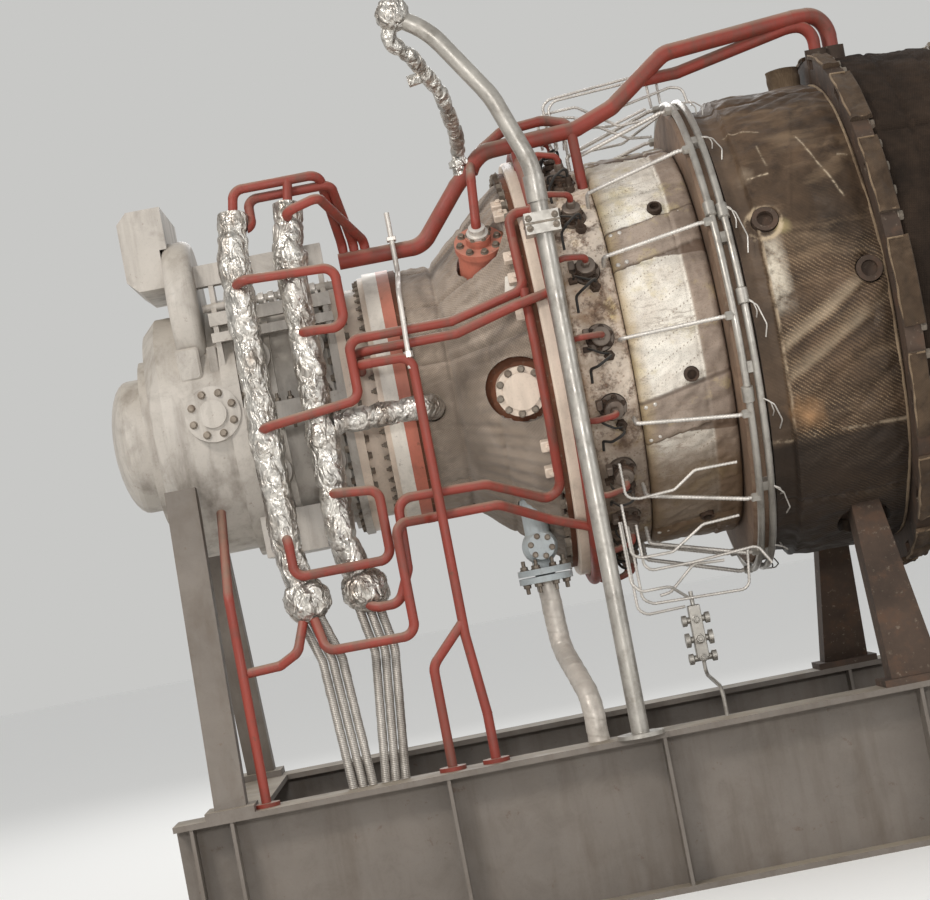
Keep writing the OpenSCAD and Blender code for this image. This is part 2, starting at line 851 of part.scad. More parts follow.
module front_bleed_pipe() {
    bleed_pipe(front_bleed_x, front_foot_x);
}

module rear_bleed_pipe() {
    bleed_pipe(rear_bleed_x, rear_foot_x);
}

// Cuts the ends of pipes that land on the straight part of a bleed pipe
module bleed_cut(x) {
    translate([x, bleed_y, -480]) cylinder(h = 980, d = bleed_d + 2 * seat);
}

// Foil wrapped branch from the rear bleed pipe to the diffuser barrel
branch_x = -560;
branch_z = -92;
branch_d = 88;
module foil_elbow() {
    color(foil)
        difference() {
            on_shaft()
                pipe_run([[rear_bleed_x, bleed_y, branch_z], [branch_x, bleed_y, branch_z],
                    [branch_x, -cone_r0 / 2, branch_z]], branch_d, 80);
            on_shaft() bleed_cut(rear_bleed_x);
            revolve(diffuser_profile(seat));
        }
}

valve_x = -271;
valve_y = -330;
valve_neck_d = 90;
valve_face = -778;

// Drain valve under the diffuser: neck, round body and bolted flange pair
module drain_valve() {
    flange_d = 196;
    flange_t = 22;
    color(steel)
        difference() {
            on_shaft() translate([valve_x, valve_y, 0]) {
                translate([0, 0, -690]) cylinder(h = 400, d = valve_neck_d);
                translate([0, 0, -650]) sphere(d = 130, $fn = 48);
                translate([0, 0, valve_face + 10]) cylinder(h = 120, d = 74);
                for (z = [valve_face, valve_face + flange_t + 6])
                    translate([0, 0, z]) cylinder(h = flange_t, d = flange_d);
                translate([0, 0, -650]) rotate([90, 0, 0]) cylinder(h = 120, d = 50);
                translate([0, -120, -650]) rotate([90, 0, 0]) cylinder(h = 18, d = 96);
            }
            revolve(diffuser_profile(seat));
        }
}

// Where the drain hose lands, and how far out the pipes and hoses stand on the long beam
hose_x = valve_x + 58;
hose_foot_y = -base_gauge / 2 + 60;
pipe_foot_y = -base_gauge / 2 + 10;

// Drain hose under the valve, and two bundles of three braided hoses under the bleed pipes
module lower_hoses() {
    bundle_d = 32;
    pitch = 34.5;
    color(steel)
        on_shaft() {
            pipe_run([[valve_x, valve_y, valve_face], [valve_x + 6, valve_y, -1020],
                [hose_x, hose_foot_y, deck_z + 150], [hose_x, hose_foot_y, deck_z]], hose_d, 110);
            for (i = [-1:1])
                difference() {
                    union() {
                        pipe_run([[front_foot_x + i * pitch, bleed_y, foot_z],
                            [front_foot_x + i * pitch + 50, bleed_y - 20, -900],
                            [front_foot_x + i * pitch + 74, hose_foot_y, deck_z]], bundle_d, 90);
                        pipe_run([[rear_foot_x + i * pitch, bleed_y, foot_z],
                            [rear_foot_x + i * pitch + 28, bleed_y - 20, -900],
                            [rear_foot_x + i * pitch - 20, hose_foot_y, deck_z]], bundle_d, 90);
                    }
                    for (x = [front_foot_x, rear_foot_x])
                        translate([x, bleed_y, foot_z]) sphere(d = bleed_foot_d + 2 * seat, $fn = 48);
                }
        }
}

riser_x = -78;
riser_y = -base_gauge / 2 - 110;
riser_top = [-446, riser_y, 1236];
riser_bend = [-70, riser_y, 640];

// Stainless pipe that stands in front of the diffuser and leans over at the top
module stainless_riser() {
    adapter_z = 510;
    color(steel)
        difference() {
            on_shaft() {
                pipe_run([riser_top, [-334, riser_y, 1168], [-161, riser_y, 900], riser_bend,
                    [riser_x, riser_y, deck_z]], riser_d, 300);
                bar([riser_x + 5, riser_y, adapter_z], [riser_x + 6, riser_y, adapter_z + 92],
                    riser_d + 12);
                deck_flange(riser_x, riser_y, riser_d + 40);
            }
            on_shaft() translate(riser_top) sphere(d = riser_foil_d + 2 * seat, $fn = 48);
        }
}

riser_foil_d = 104;

// Foil wrapped hose that turns back at the riser's top end and runs down to the header
module branch_hose() {
    foot = [-292, header_y, 726];
    hose = 46;
    stub = [-361, -710, 1041];
    color(foil)
        difference() {
            on_shaft() {
                translate(riser_top) sphere(d = riser_foil_d, $fn = 48);
                bar(foot, foot + [0, 0, 64], hose + 12);
                bar(foot + [0, 0, 36], foot + [0, 0, 56], hose + 32);
                pipe_run([foot + [0, 0, 50], foot + [0, 0, 78], [-287, -430, 862], [-322, -640, 985],
                    [-400, -780, 1098], [-474, -838, 1160], riser_top], hose, 40);
                bar(stub, stub - [68, 0, 11], hose - 4);
            }
            on_shaft() {
                header_cut();
                bar(branch_start, branch_rise, red_d + 4 + 2 * elbow_step);
            }
        }
}

// Clamp block on the riser, with the arm that holds it to the combustor flange
module riser_clamp() {
    clamp_z = 398;
    clamp_h = 74;
    middle = riser_x + 4;
    color(steel)
        difference() {
            on_shaft() {
                translate([middle - 60, riser_y - 52, clamp_z]) cube([120, 104, clamp_h]);
                translate([middle - 15, riser_y, clamp_z + 16]) cube([30, 300, 40]);
            }
            on_shaft()
                bar(riser_bend, [riser_x, riser_y, deck_z], riser_d + 2 * seat);
            ring(cone_x1 - 60, comb_flange_t + 120, comb_flange_r + seat, $fn = 180);
            ring(manifold_x - manifold_d / 2 - 2, manifold_d + 60, manifold_r + manifold_d, $fn = 180);
        }
}

header_y = -330;
header_z = 503;
branch_foot_x = 130;
branch_foot_turn = 58;
branch_start = [-250, -330, 730];
branch_rise = [-205, -300, 812];
header_left = [-790, header_y, header_z];
header_knee = [-481, header_y, header_z];
header_top = [-318, header_y, 695];
header_flat = [-204, header_y, 798];
header_mid = [146, header_y, 817];
header_rise = [291, header_y, 870];
header_high = [520, -310, header_port_top + 49];

// Point at a distance from the shaft at an elevation on the service side
function polar(x, angle, r) = [x, -r * cos(angle), r * sin(angle)];

// Cuts the ends of pipes that land on the header
module header_cut() {
    reach = 20;
    bar(header_left - [reach, 0, 0], header_knee, header_d + 2 * seat);
    bar(header_knee, header_top, header_d + 2 * seat);
    bar(header_top, header_flat, header_d + 2 * seat);
    bar(header_flat, header_mid, header_d + 2 * seat);
}

// Red header over the diffuser and combustor, and the second pipe beside it
module red_header() {
    first = polar(first_port_x, first_port_turn, header_port_top);
    second = polar(second_port_x, second_port_turn, header_port_top);
    boss_tip = polar(upper_boss_x, upper_boss_turn, upper_boss_end);
    boss_way = polar(0, upper_boss_turn, 1);
    color(red_paint)
        difference() {
            on_shaft() {
                pipe_run([header_left, header_knee, header_top, header_flat, header_mid, header_rise,
                    header_high, [1035, -190, header_port_top + 110],
                    polar(first_port_x, first_port_turn, header_port_top + 125), first],
                    header_d, 90);
                pipe_run([[400, -320, 948], [560, -250, 965], [1000, -190, header_port_top + 77],
                    polar(second_port_x, second_port_turn, header_port_top + 95), second],
                    second_header_d, 70);
                pipe_run([branch_start, branch_rise, [-115, -285, 868], [40, -280, 880],
                    [branch_foot_x, -330, 840], polar(branch_foot_x, branch_foot_turn, comb_r)],
                    red_d + 4, 60);
                translate([-100, header_y - 14, 600]) cube([16, 28, 205]);
                pipe_run([boss_tip, boss_tip + boss_way * 48, [-268, -490, 690], [-255, header_y, 762]],
                    red_d, 34);
            }
            ring(cone_x1 - past, comb_flange_t, comb_flange_r + seat);
            ring(comb_x0 + past, turbine_x - comb_x0, comb_r + seat);
        }
}

// Red loops between the tops of the bleed pipes and the header, and the loop in front of them
module red_upper_loops() {
    front = bleed_top(front_bleed_x);
    rear = bleed_top(rear_bleed_x);
    rise = bleed_lean / 2;
    loop_y = front.y + rise.y;
    loop_z = front.z + rise.z;
    z = header_z + header_d;
    right_x = -805;
    color(red_paint)
        difference() {
            on_shaft() {
                pipe_run([front, front + rise, [right_x + 5, loop_y, loop_z], [-768, header_y, z],
                    [-768, header_y, header_z]],
                    red_d, 40);
                bar(rear, rear + rise, red_d);
                pipe_run([[front.x, front.y - 20, 640], [-1063, loop_y - 20, 645],
                    [-1063, loop_y + 30, 752],
                    [right_x + 40, loop_y + 30, 752], [-728, header_y, z],
                    [-728, header_y, header_z]], red_d, 36);
                pipe_run([[rear.x - 6, bleed_y + 20, 640], [rear.x - 6, red_y, 660],
                    [right_x - 10, red_y, 690],
                    [-688, header_y, z], [-688, header_y, header_z]], red_d, 36);
                pipe_run([[front_bleed_x, bleed_y, 425], [front_bleed_x, red_y, 455],
                    [right_x, red_y, 440],
                    [right_x, red_y, 228], [rear_bleed_x, red_y, 238], [rear_bleed_x, bleed_y, 238]],
                    red_d, 45);
            }
            on_shaft() {
                bleed_cut(front_bleed_x);
                bleed_cut(rear_bleed_x);
                for (x = [front_bleed_x, rear_bleed_x])
                    bar(bleed_top(x) - bleed_lean, bleed_top(x), bleed_d + 2 * seat);
                header_cut();
            }
        }
}

// Height of the lower loops' bottom run, and the riser of the drain on the intake side
drain_x = -1380;

// Red loops at the feet of the bleed pipes, one of them on to the fuel ring, and the drain on the intake side
module red_lower_loops() {
    right_x = -800;
    color(red_paint)
        difference() {
            on_shaft() {
                pipe_run([[rear_bleed_x, bleed_y, -334], [rear_bleed_x, red_y, -334],
                    [right_x, red_y, -350],
                    [right_x, red_y, -595], [front_bleed_x + 12, red_y, -595],
                    [front_bleed_x + 12, red_y, -470],
                    [front_bleed_x, bleed_y, -440]], red_d, 40);
                pipe_run([[front_foot_x, bleed_y, foot_z], [front_foot_x - 60, red_y, -850],
                    [front_foot_x - 130, red_y + 20, -885], [drain_x, red_y + 20, -890]], red_d, 36);
                pipe_run([[front_foot_x, bleed_y, foot_z], [front_foot_x + 40, red_y - 30, -865],
                    [-765, red_y - 45, -867], [-765, red_y - 45, -480], [-640, -690, -480],
                    [-400, -690, -480],
                    [-230, -577, -562], polar(manifold_x, -50, manifold_r)], red_d, 45);
                pipe_run([[drain_x, pipe_foot_y, deck_z], [drain_x, red_y + 20, -620],
                    [drain_x, -intake_r / 2, -intake_r / 2]], red_d, 60);
                deck_flange(drain_x, pipe_foot_y, red_d);
            }
            on_shaft() {
                bleed_cut(front_bleed_x);
                bleed_cut(rear_bleed_x);
                translate([front_foot_x, bleed_y, foot_z]) sphere(d = bleed_foot_d + 2 * seat, $fn = 48);
                manifold_cut();
            }
            revolve([[0, intake_x], [intake_r + seat, intake_x],
                [intake_r + seat, intake_end_x - comp_flange_t],
                [0, intake_end_x - comp_flange_t]]);
        }
}

// Radius at which the ring of waist pipes passes round the end of the diffuser cone
waist_r = 768;
waist_x = cone_x1 - red_d;

// Red pipes round the waist of the machine, and the long drain down to the base frame
module red_waist_pipes() {
    run_y = -700;
    right_x = -805;
    drop_x = -600;
    second_drop_x = -728;
    drop_y = red_y - 12;
    start_y = -comp_r / 2;
    start_x = (comp_end_x + rear_comp_end_x) / 2 + 3;
    color(red_paint)
        difference() {
            on_shaft() {
                pipe_run([[front_bleed_x, bleed_y, -72], [front_bleed_x, red_y, -66],
                    [right_x, red_y, -30],
                    [right_x, red_y, 178], [-440, run_y, 178], polar(waist_x, 18, waist_r),
                    polar(waist_x, 34, waist_r), polar(waist_x, 40, manifold_r),
                    polar(manifold_x, 40, manifold_r)], red_d, 40);
                pipe_run([[start_x, start_y, 132], [start_x, run_y, 132], [-430, run_y, 132],
                    polar(-215, 13, manifold_r), polar(manifold_x, 15, manifold_r)], red_d, 50);
                pipe_run([[start_x, start_y, 86], [start_x, drop_y, 86], [drop_x, drop_y, 82],
                    [drop_x, drop_y, deck_z + 450], [drop_x + 24, drop_y, deck_z + 170],
                    [drop_x + 24, pipe_foot_y, deck_z]], red_d, 45);
                pipe_run([[drop_x, drop_y, deck_z + 495], [second_drop_x, drop_y, deck_z + 365],
                    [second_drop_x, pipe_foot_y, deck_z]], red_d, 60);
                deck_flange(drop_x + 24, pipe_foot_y, red_d);
                deck_flange(second_drop_x, pipe_foot_y, red_d);
                pipe_run([[rear_foot_x, bleed_y, foot_z - 20], [rear_foot_x, red_y, -750],
                    [-800, red_y, -750],
                    [-750, red_y - 4, -640], [-742, run_y, -395], [-430, run_y, -402],
                    polar(waist_x, -42, waist_r),
                    polar(waist_x, -18, waist_r), [waist_x, -waist_r, 60],
                    polar(waist_x, 18, waist_r)], red_d, 50);
            }
            on_shaft() {
                bleed_cut(front_bleed_x);
                translate([rear_foot_x, bleed_y, foot_z]) sphere(d = bleed_foot_d + 2 * seat, $fn = 48);
                manifold_cut();
            }
            ring(comp_end_x, rear_comp_end_x - comp_end_x, comp_r + seat);
        }
}

// Thin tubes from the combustor casing to the ring tubes round the turbine flange
module instrument_tubes() {
    tube_count = 16;
    foot_x = burner_x + 66;
    color(steel)
        on_shaft()
            for (i = [0:tube_count - 1])
                rotate([360 * i / tube_count, 0, 0])
                    pipe_run([[foot_x, 0, comb_r + seat], [foot_x, 0, burner_top + 14],
                        [turbine_x - 30, 0, ring_tube_r],
                        [first_ring_x - ring_tube_d / 2 - seat, 0, ring_tube_r]], tube_d, 20);
}

base_rail_near();
base_rail_far();
base_cross_front();
base_cross_mid();
base_cross_rear();
front_leg_near();
front_leg_far();
rear_leg_near();
rear_leg_far();
bearing_nose();
intake_barrel();
housing_disc();
top_housing();
round_cover();
compressor_casing();
vane_linkage();
cream_casing();
white_flange_ring();
red_flange_ring();
diffuser_casing();
diffuser_blanket();
upper_boss();
side_boss();
combustor_flange();
combustor_casing();
foil_blanket();
burners();
fuel_manifold();
turbine_flange();
ring_tubes();
turbine_casing();
turbine_blanket();
power_turbine_casing();
exhaust_casing();
front_bleed_pipe();
rear_bleed_pipe();
foil_elbow();
drain_valve();
lower_hoses();
stainless_riser();
branch_hose();
riser_clamp();
red_header();
red_upper_loops();
red_lower_loops();
red_waist_pipes();
instrument_tubes();
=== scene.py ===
"""Industrial gas turbine on its base frame: materials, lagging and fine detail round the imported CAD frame."""
import json
import math

import bpy
from mathutils import Matrix, Vector, noise


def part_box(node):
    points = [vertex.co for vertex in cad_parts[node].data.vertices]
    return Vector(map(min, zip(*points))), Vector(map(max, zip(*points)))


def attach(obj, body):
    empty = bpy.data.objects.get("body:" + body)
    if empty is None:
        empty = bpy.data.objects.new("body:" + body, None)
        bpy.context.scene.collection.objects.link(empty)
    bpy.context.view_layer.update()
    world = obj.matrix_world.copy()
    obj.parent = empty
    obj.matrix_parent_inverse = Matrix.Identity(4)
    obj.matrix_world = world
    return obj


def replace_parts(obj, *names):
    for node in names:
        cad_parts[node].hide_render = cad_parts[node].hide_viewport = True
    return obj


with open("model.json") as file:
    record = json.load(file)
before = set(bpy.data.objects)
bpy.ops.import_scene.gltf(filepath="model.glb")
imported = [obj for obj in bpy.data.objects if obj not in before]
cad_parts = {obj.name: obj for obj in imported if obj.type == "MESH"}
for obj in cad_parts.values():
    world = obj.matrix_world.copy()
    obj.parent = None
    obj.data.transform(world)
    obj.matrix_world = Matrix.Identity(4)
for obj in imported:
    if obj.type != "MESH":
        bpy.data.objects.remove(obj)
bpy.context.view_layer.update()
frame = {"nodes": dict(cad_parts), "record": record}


# Places, in metres, as in the part's source
def span(node, axis=0):
    """Lowest and highest value of a CAD node along an axis."""
    low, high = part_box(node)
    return low[axis], high[axis]


AXIS = sum(span("turbine_flange", 2)) / 2
DECK = span("base_rail_near", 2)[1] - AXIS
COMP_X0, COMP_X1 = span("compressor_casing")
CREAM_X0, CREAM_X1 = span("cream_casing")
DIFF_X0, DIFF_X1 = span("diffuser_casing")
COMB_X1 = span("combustor_flange")[1]
TURB_X0, TURB_X1 = span("turbine_flange")
POWER_X0, POWER_X1 = span("power_turbine_casing")
COMP_R, COMB_R, TURBINE_R, POWER_R = 0.430, 0.690, 0.815, 0.905
CONE_X0, CONE_R0, CONE_R1 = -0.470, 0.425, 0.690
CONE_SLOPE = (CONE_R1 - CONE_R0) / (DIFF_X1 - 0.02 - CONE_X0)
BARREL_R = 0.455
RING_TUBE_R = 0.883
BURNER_X, BURNER_TOP = 0.058, 0.760
BURNER_COUNT, BURNER_TURN = 18, 8.2
FRONT_BLEED_X, REAR_BLEED_X = -1.152, -0.956
BLEED_Y, BLEED_R = -0.650, 0.054
BLEED_LEAN = Vector((0.030, 0.040, 0.180))
PORT_Y, PORT_Z = -0.480, 0.210
FRONT_FOOT_X, REAR_FOOT_X = -1.118, -0.910
FOOT_Z, FOOT_R = -0.680, 0.085
BRANCH_X, BRANCH_Z = -0.560, -0.092
VALVE_X, VALVE_Y, VALVE_FACE = -0.271, -0.330, -0.778
RISER_X, RISER_Y = -0.074, -0.860
UPPER_BOSS = (-0.283, 45)
SIDE_BOSS = (-0.246, -8.7)
SEAM_X = 0.655
SEAT = 0.0003
UP = Vector((0, 0, 1))
ALONG = Vector((1, 0, 0))
NEAR = Vector((0, -1, 0))


def polar(x, elevation, radius):
    """Point round the shaft; the elevation in degrees is measured up from the service side."""
    a = math.radians(elevation)
    return Vector((x, -radius * math.cos(a), AXIS + radius * math.sin(a)))


def outward(elevation):
    """Direction away from the shaft."""
    return polar(0, elevation, 1) - Vector((0, 0, AXIS))


def shaft(x, y, z):
    """Point given by its height above the shaft."""
    return Vector((x, y, AXIS + z))


# Colours are three 8-bit numbers, and the shaders get them as four linear ones
def tint(colour, factor=1):
    """Linear form of an 8-bit colour, made lighter or darker by the factor."""
    shares = [value / 255 for value in colour]
    linear = [v / 12.92 if v <= 0.04045 else ((v + 0.055) / 1.055) ** 2.4 for v in shares]
    return tuple(min(1, v * factor) for v in linear) + (1,)


class Field:
    """A value that changes over a surface: the output of a node, with plain arithmetic."""

    def __init__(self, finish, socket):
        self.finish = finish
        self.socket = socket

    def apply(self, operation, other=0.0):
        return self.finish.node("ShaderNodeMath", 0, {0: self, 1: other}, operation=operation)

    def __add__(self, other):
        return self.apply("ADD", other)

    def __sub__(self, other):
        return self.apply("SUBTRACT", other)

    def __mul__(self, other):
        return self.apply("MULTIPLY", other)

    def __truediv__(self, other):
        return self.apply("DIVIDE", other)

    def __abs__(self):
        return self.apply("ABSOLUTE")

    def sine(self):
        return self.apply("SINE")

    def fract(self):
        return self.apply("FRACT")

    def ramp(self, *stops):
        """Levels at given values, with even slopes between them."""
        made = self.finish.node("ShaderNodeValToRGB", "Color", {"Fac": self})
        points = made.socket.node.color_ramp.elements
        while len(points) < len(stops):
            points.new(0.5)
        for point, (at, level) in zip(points, stops):
            point.position = at
            point.color = (level, level, level, 1)
        return made

    def rise(self, low, high, level=1):
        return self.ramp((low, 0), (high, level))

    def fall(self, low, high, level=1):
        return self.ramp((low, level), (high, 0))


class Finish:
    """A node material. Its tone starts from a base and is painted over, one layer at a time."""

    def __init__(self, name, roughness, metallic=0.0, specular=0.4, sheen=0.0, sheen_roughness=0.5):
        self.material = bpy.data.materials.new(name)
        self.material.use_nodes = True
        self.tree = self.material.node_tree
        self.shader = self.tree.nodes["Principled BSDF"]
        levels = {"Roughness": roughness, "Metallic": metallic, "Specular IOR Level": specular,
                  "Sheen Weight": sheen, "Sheen Roughness": sheen_roughness}
        for socket, level in levels.items():
            self.shader.inputs[socket].default_value = level
        self.place = self.node("ShaderNodeTexCoord", "Object")
        self.tone = None

    def node(self, kind, output, inputs=None, **settings):
        """Adds a node and gives one of its outputs; each input is a field or a fixed value."""
        made = self.tree.nodes.new(kind)
        for key, value in settings.items():
            setattr(made, key, value)
        for key, value in (inputs or {}).items():
            if isinstance(value, Field):
                self.tree.links.new(value.socket, made.inputs[key])
            else:
                made.inputs[key].default_value = value
        return Field(self, made.outputs[output])

    def scaled(self, scale):
        """Texture inputs; the scale is one number, or three for a pattern drawn out along an axis."""
        if isinstance(scale, (int, float)):
            return {"Vector": self.place, "Scale": scale}
        drawn_out = self.node("ShaderNodeMapping", 0, {"Vector": self.place, "Scale": scale})
        return {"Vector": drawn_out, "Scale": 1.0}

    def noise(self, scale, detail=4.0, roughness=0.55, distortion=0.0):
        inputs = {"Detail": detail, "Roughness": roughness, "Distortion": distortion}
        return self.node("ShaderNodeTexNoise", "Fac", self.scaled(scale) | inputs)

    def ridged(self, scale, detail=3.0, distortion=0.3):
        """Height with sharp valleys between smooth humps."""
        return abs(self.noise(scale, detail, 0.5, distortion) - 0.5)

    def cells(self, scale):
        """Distance from the middles of scattered cells."""
        return self.node("ShaderNodeTexVoronoi", "Distance", self.scaled(scale))

    def split(self, vector):
        """The three coordinates of a vector."""
        parts = self.node("ShaderNodeSeparateXYZ", 0, {0: vector}).socket.node.outputs
        return [Field(self, socket) for socket in parts]

    def normal(self):
        return self.node("ShaderNodeNewGeometry", "Normal")

    def facing_up(self):
        """How far the surface faces up, from 0 to 1."""
        return self.split(self.normal())[2]

    def away(self, middle):
        """Distance from a point."""
        ends = {0: self.place, 1: tuple(middle)}
        return self.node("ShaderNodeVectorMath", "Value", ends, operation="DISTANCE")

    def spot(self, middle, radius):
        """1 at a point, falling to 0 at a ragged edge about a radius away."""
        return ((self.away(middle) + self.noise(9, 4) * radius) / radius).fall(0.35, 1.0)

    def round_shaft(self, radius):
        """Station along the shaft and arc length round it, at a radius."""
        station, y, z = self.split(self.place)
        return station, (z - AXIS).apply("ARCTAN2", y * -1.0) * radius

    def uneven_height(self, below, scale, detail, depth):
        """Height over a level below the shaft, made uneven by noise."""
        return self.split(self.place)[2] - (AXIS - below) + self.noise(scale, detail) * depth

    def worn_line(self, station, arc, radius, x0, turn0, x1, turn1, strength):
        """A broken thin line between two (station, elevation) places round the shaft."""
        start = Vector((x0, math.radians(turn0) * radius))
        way = Vector((x1, math.radians(turn1) * radius)) - start
        length, way = way.length, way.normalized()
        dx, da = station - start.x, arc - start.y
        share = (dx * way.x + da * way.y) / length
        thin = abs(dx * way.y - da * way.x).fall(0.0015, 0.0045, strength)
        broken = self.noise(60, 3, 0.6).ramp((0.4, 0.2), (0.55, 1))
        return thin * share.ramp((0.0, 0), (0.05, 1), (0.94, 1), (0.99, 0)) * broken

    def mix(self, share, *colours):
        """From one colour to another; each is a field, a linear colour or three 8-bit numbers."""
        a, b = (tint(c) if isinstance(c, tuple) and len(c) == 3 else c for c in colours)
        return self.node("ShaderNodeMix", 2, {0: share, 6: a, 7: b}, data_type="RGBA")

    def base(self, share, dark, light):
        self.tone = self.mix(share, dark, light)

    def paint(self, share, colour):
        self.tone = self.mix(share, self.tone, colour)

    def done(self, *bumps, rough=None):
        """Joins everything to the shader; each bump is (height, strength, depth in metres)."""
        normal = {}
        for height, strength, depth in bumps:
            inputs = {"Height": height, "Strength": strength, "Distance": depth}
            normal = {"Normal": self.node("ShaderNodeBump", 0, inputs | normal)}
        for socket, field in {"Base Color": self.tone, "Roughness": rough, **normal}.items():
            if field:
                self.tree.links.new(field.socket, self.shader.inputs[socket])
        return self.material


DUST = (158, 146, 128)
RUST = (88, 64, 48)
GRIME = (84, 72, 60)


def painted(name, colour, roughness, wear, dust, streaks):
    """Old paint with uneven tone, runs of dirt, dust on top and chips down to rusty metal."""
    f = Finish(name, roughness)
    patches = f.noise(3.2, 5, 0.6)
    f.base(patches.rise(0.3, 0.72), tint(colour, 0.84), tint(colour, 1.08))
    runs = f.noise((14, 14, 1.6), 4, 0.6)
    f.paint(runs.rise(0.48, 0.75) * streaks, GRIME)
    specks = f.noise(130, 3, 0.7)
    f.paint(specks.rise(0.55, 0.7) * 0.14, tint(GRIME, 0.9))
    smears = f.noise(7, 6, 0.7, 0.8)
    f.paint(smears.rise(0.5, 0.66) * (0.4 * streaks), tint(GRIME, 0.8))
    chips = f.noise(22, 6, 0.72).rise(0.64, 0.67) * wear
    f.paint(chips, RUST)
    film = f.facing_up().rise(0.25, 0.95) * dust
    f.paint(film * patches.ramp((0.25, 0.35), (0.65, 1)), DUST)
    rough = f.noise(9, 4).ramp((0.3, roughness - 0.08), (0.7, roughness + 0.16))
    return f.done((f.noise(60, 4), 0.25, 0.002), (chips, 0.4, 0.0008), rough=rough)


def bare(name, colour, metallic, roughness, stain, stain_colour):
    """Bare metal with stains and fine scratches."""
    f = Finish(name, roughness, metallic)
    f.base(f.noise(6, 6, 0.62).rise(0.3, 0.7), tint(colour, 0.76), tint(colour, 1.12))
    f.paint(f.noise(11, 6, 0.7).rise(0.5, 0.68) * stain, stain_colour)
    scratches = f.noise((30, 200, 200), 3)
    rough = f.noise(30, 5, 0.6).ramp((0.3, roughness - 0.1), (0.7, roughness + 0.2))
    return f.done((scratches, 0.15, 0.001), (f.noise(70, 4), 0.2, 0.001), rough=rough)


def heat_stained(name, colour):
    """Hot casing metal: brown scale, soot and rust."""
    f = Finish(name, 0.75, 0.15)
    patches = f.noise(4, 7, 0.65)
    f.base(patches.rise(0.3, 0.7), tint(colour, 0.55), tint(colour, 1.35))
    f.paint(f.noise(16, 7, 0.7).rise(0.5, 0.66) * 0.7, RUST)
    f.paint(f.noise(45, 4, 0.7).rise(0.6, 0.7) * 0.35, DUST)
    return f.done((patches, 0.4, 0.006), (f.noise(90, 5), 0.35, 0.002))


def crinkled(name, colour):
    """Crumpled foil: bright facets, painted shade in the creases and hollows between them, and patches of brown dirt.
    """
    f = Finish(name, 0.3, 0.85)
    large = f.ridged((24, 24, 15), 2, 0.6)
    facets = f.cells((36, 36, 22.5))
    small = f.ridged((67.2, 67.2, 42), 3, 0.5)
    f.base(f.noise(28, 4).rise(0.35, 0.65), tint(colour, 0.62), tint(colour, 1.1))
    f.paint(f.noise((10, 10, 5), 6, 0.7).rise(0.48, 0.64, 0.7), (112, 94, 78))
    # Painted shade: darker in the valleys of the large creases.
    f.paint(large.fall(0.0, 0.02, 0.45), (70, 60, 52))
    rough = f.noise(25, 4).ramp((0.3, 0.2), (0.7, 0.5))
    return f.done((large, 0.9, 0.034), (facets, 0.7, 0.012), (small, 0.5, 0.008), rough=rough)


# Panels round the combustor, each with a sloping strip along its upper edge; angles in degrees
PANELS = 7
PANEL_TURN = 360 / PANELS
STRIP_LOW, STRIP_HIGH = 21.8, 34.7
STRIP_X, STRIP_SLOPE = 0.29, 16.0
BAND_X = 0.398
STITCH, STITCH_ROW, STITCH_RISE = 0.014, 0.062, 0.50
# Where the painted shadow under each strip begins along the shaft, and how fast it widens
SHADOW_WEDGE_X, SHADOW_WEDGE_SLOPE = 0.305, 0.42
TWO_TURNS = 720


def panelled(name):
    """Foil faced panels: pale fields, tan strips and edge band, yellow and tan stains, fine dots, and painted shade in
    the creases, along and under the strips and towards the bottom.
    """
    f = Finish(name, 0.62, 0.1, 0.35)
    station, arc = f.round_shaft(COMB_R)
    slant = (station - STRIP_X) * STRIP_SLOPE
    degrees = arc * (180 / math.pi / COMB_R) - slant
    share = ((degrees + (TWO_TURNS - STRIP_LOW)) / PANEL_TURN).fract()
    edge = (STRIP_HIGH - STRIP_LOW) / PANEL_TURN
    strip = share.fall(edge - 0.006, edge + 0.006)
    band = station.rise(BAND_X - 0.003, BAND_X + 0.003)
    patches = f.noise(5, 6, 0.65)
    f.base(patches.rise(0.3, 0.65), (192, 180, 166), (236, 230, 218))
    tan = f.mix(patches.rise(0.35, 0.65), (112, 95, 82), (156, 136, 120))
    f.paint((strip * 0.85).apply("MAXIMUM", band * 0.9), tan)
    f.paint((station + f.noise(14, 5) * 0.06).fall(0.19, 0.235, 0.75), (172, 150, 112))
    f.paint(f.noise(7, 6, 0.7).rise(0.54, 0.68, 0.5), (196, 178, 120))
    # Painted shade in the creases of the panels.
    creases = f.ridged((7, 34, 34), 4, 0.2).fall(0.0, 0.03, 0.5)
    f.paint(creases * f.noise(6, 4).rise(0.45, 0.6), (120, 100, 84))
    climb = arc - station * STITCH_RISE + 9
    row = abs((climb / STITCH_ROW).fract() - 0.5)
    dash = (station * (2 * math.pi / STITCH)).sine().rise(0.4, 0.6)
    f.paint(row.fall(0.028, 0.050) * dash * f.noise(5, 3).rise(0.40, 0.54, 0.75), (138, 120, 102))
    # Painted shadow under the lower edge of each strip, widening into a wedge towards the rear.
    under_strip = share + (station - SHADOW_WEDGE_X) * SHADOW_WEDGE_SLOPE
    under_strip_shadow = under_strip.rise(0.995, 1.0) * station.rise(SHADOW_WEDGE_X, SHADOW_WEDGE_X + 0.01)
    f.paint(under_strip_shadow * 0.85, (88, 68, 54))
    # Dark lines along both sewn edges of each strip: painted shadow of the raised strip.
    seams = share.apply("MINIMUM", abs(share - edge))
    f.paint(seams.fall(0.004, 0.016, 0.8), (84, 68, 56))
    f.paint(f.cells(190).fall(0.22, 0.42, 0.3), (110, 96, 84))
    # Darker towards the bottom: painted shade under the shaft.
    f.paint(f.uneven_height(0.9, 6, 5, 0.25).fall(0.55, 0.72, 0.85), (104, 82, 60))
    folded = f.ridged((4, 15, 15), 3, 0.1)
    return f.done((folded, 0.5, 0.020), (f.ridged(12, 4), 0.4, 0.010), (f.noise(120, 3), 0.15, 0.001))


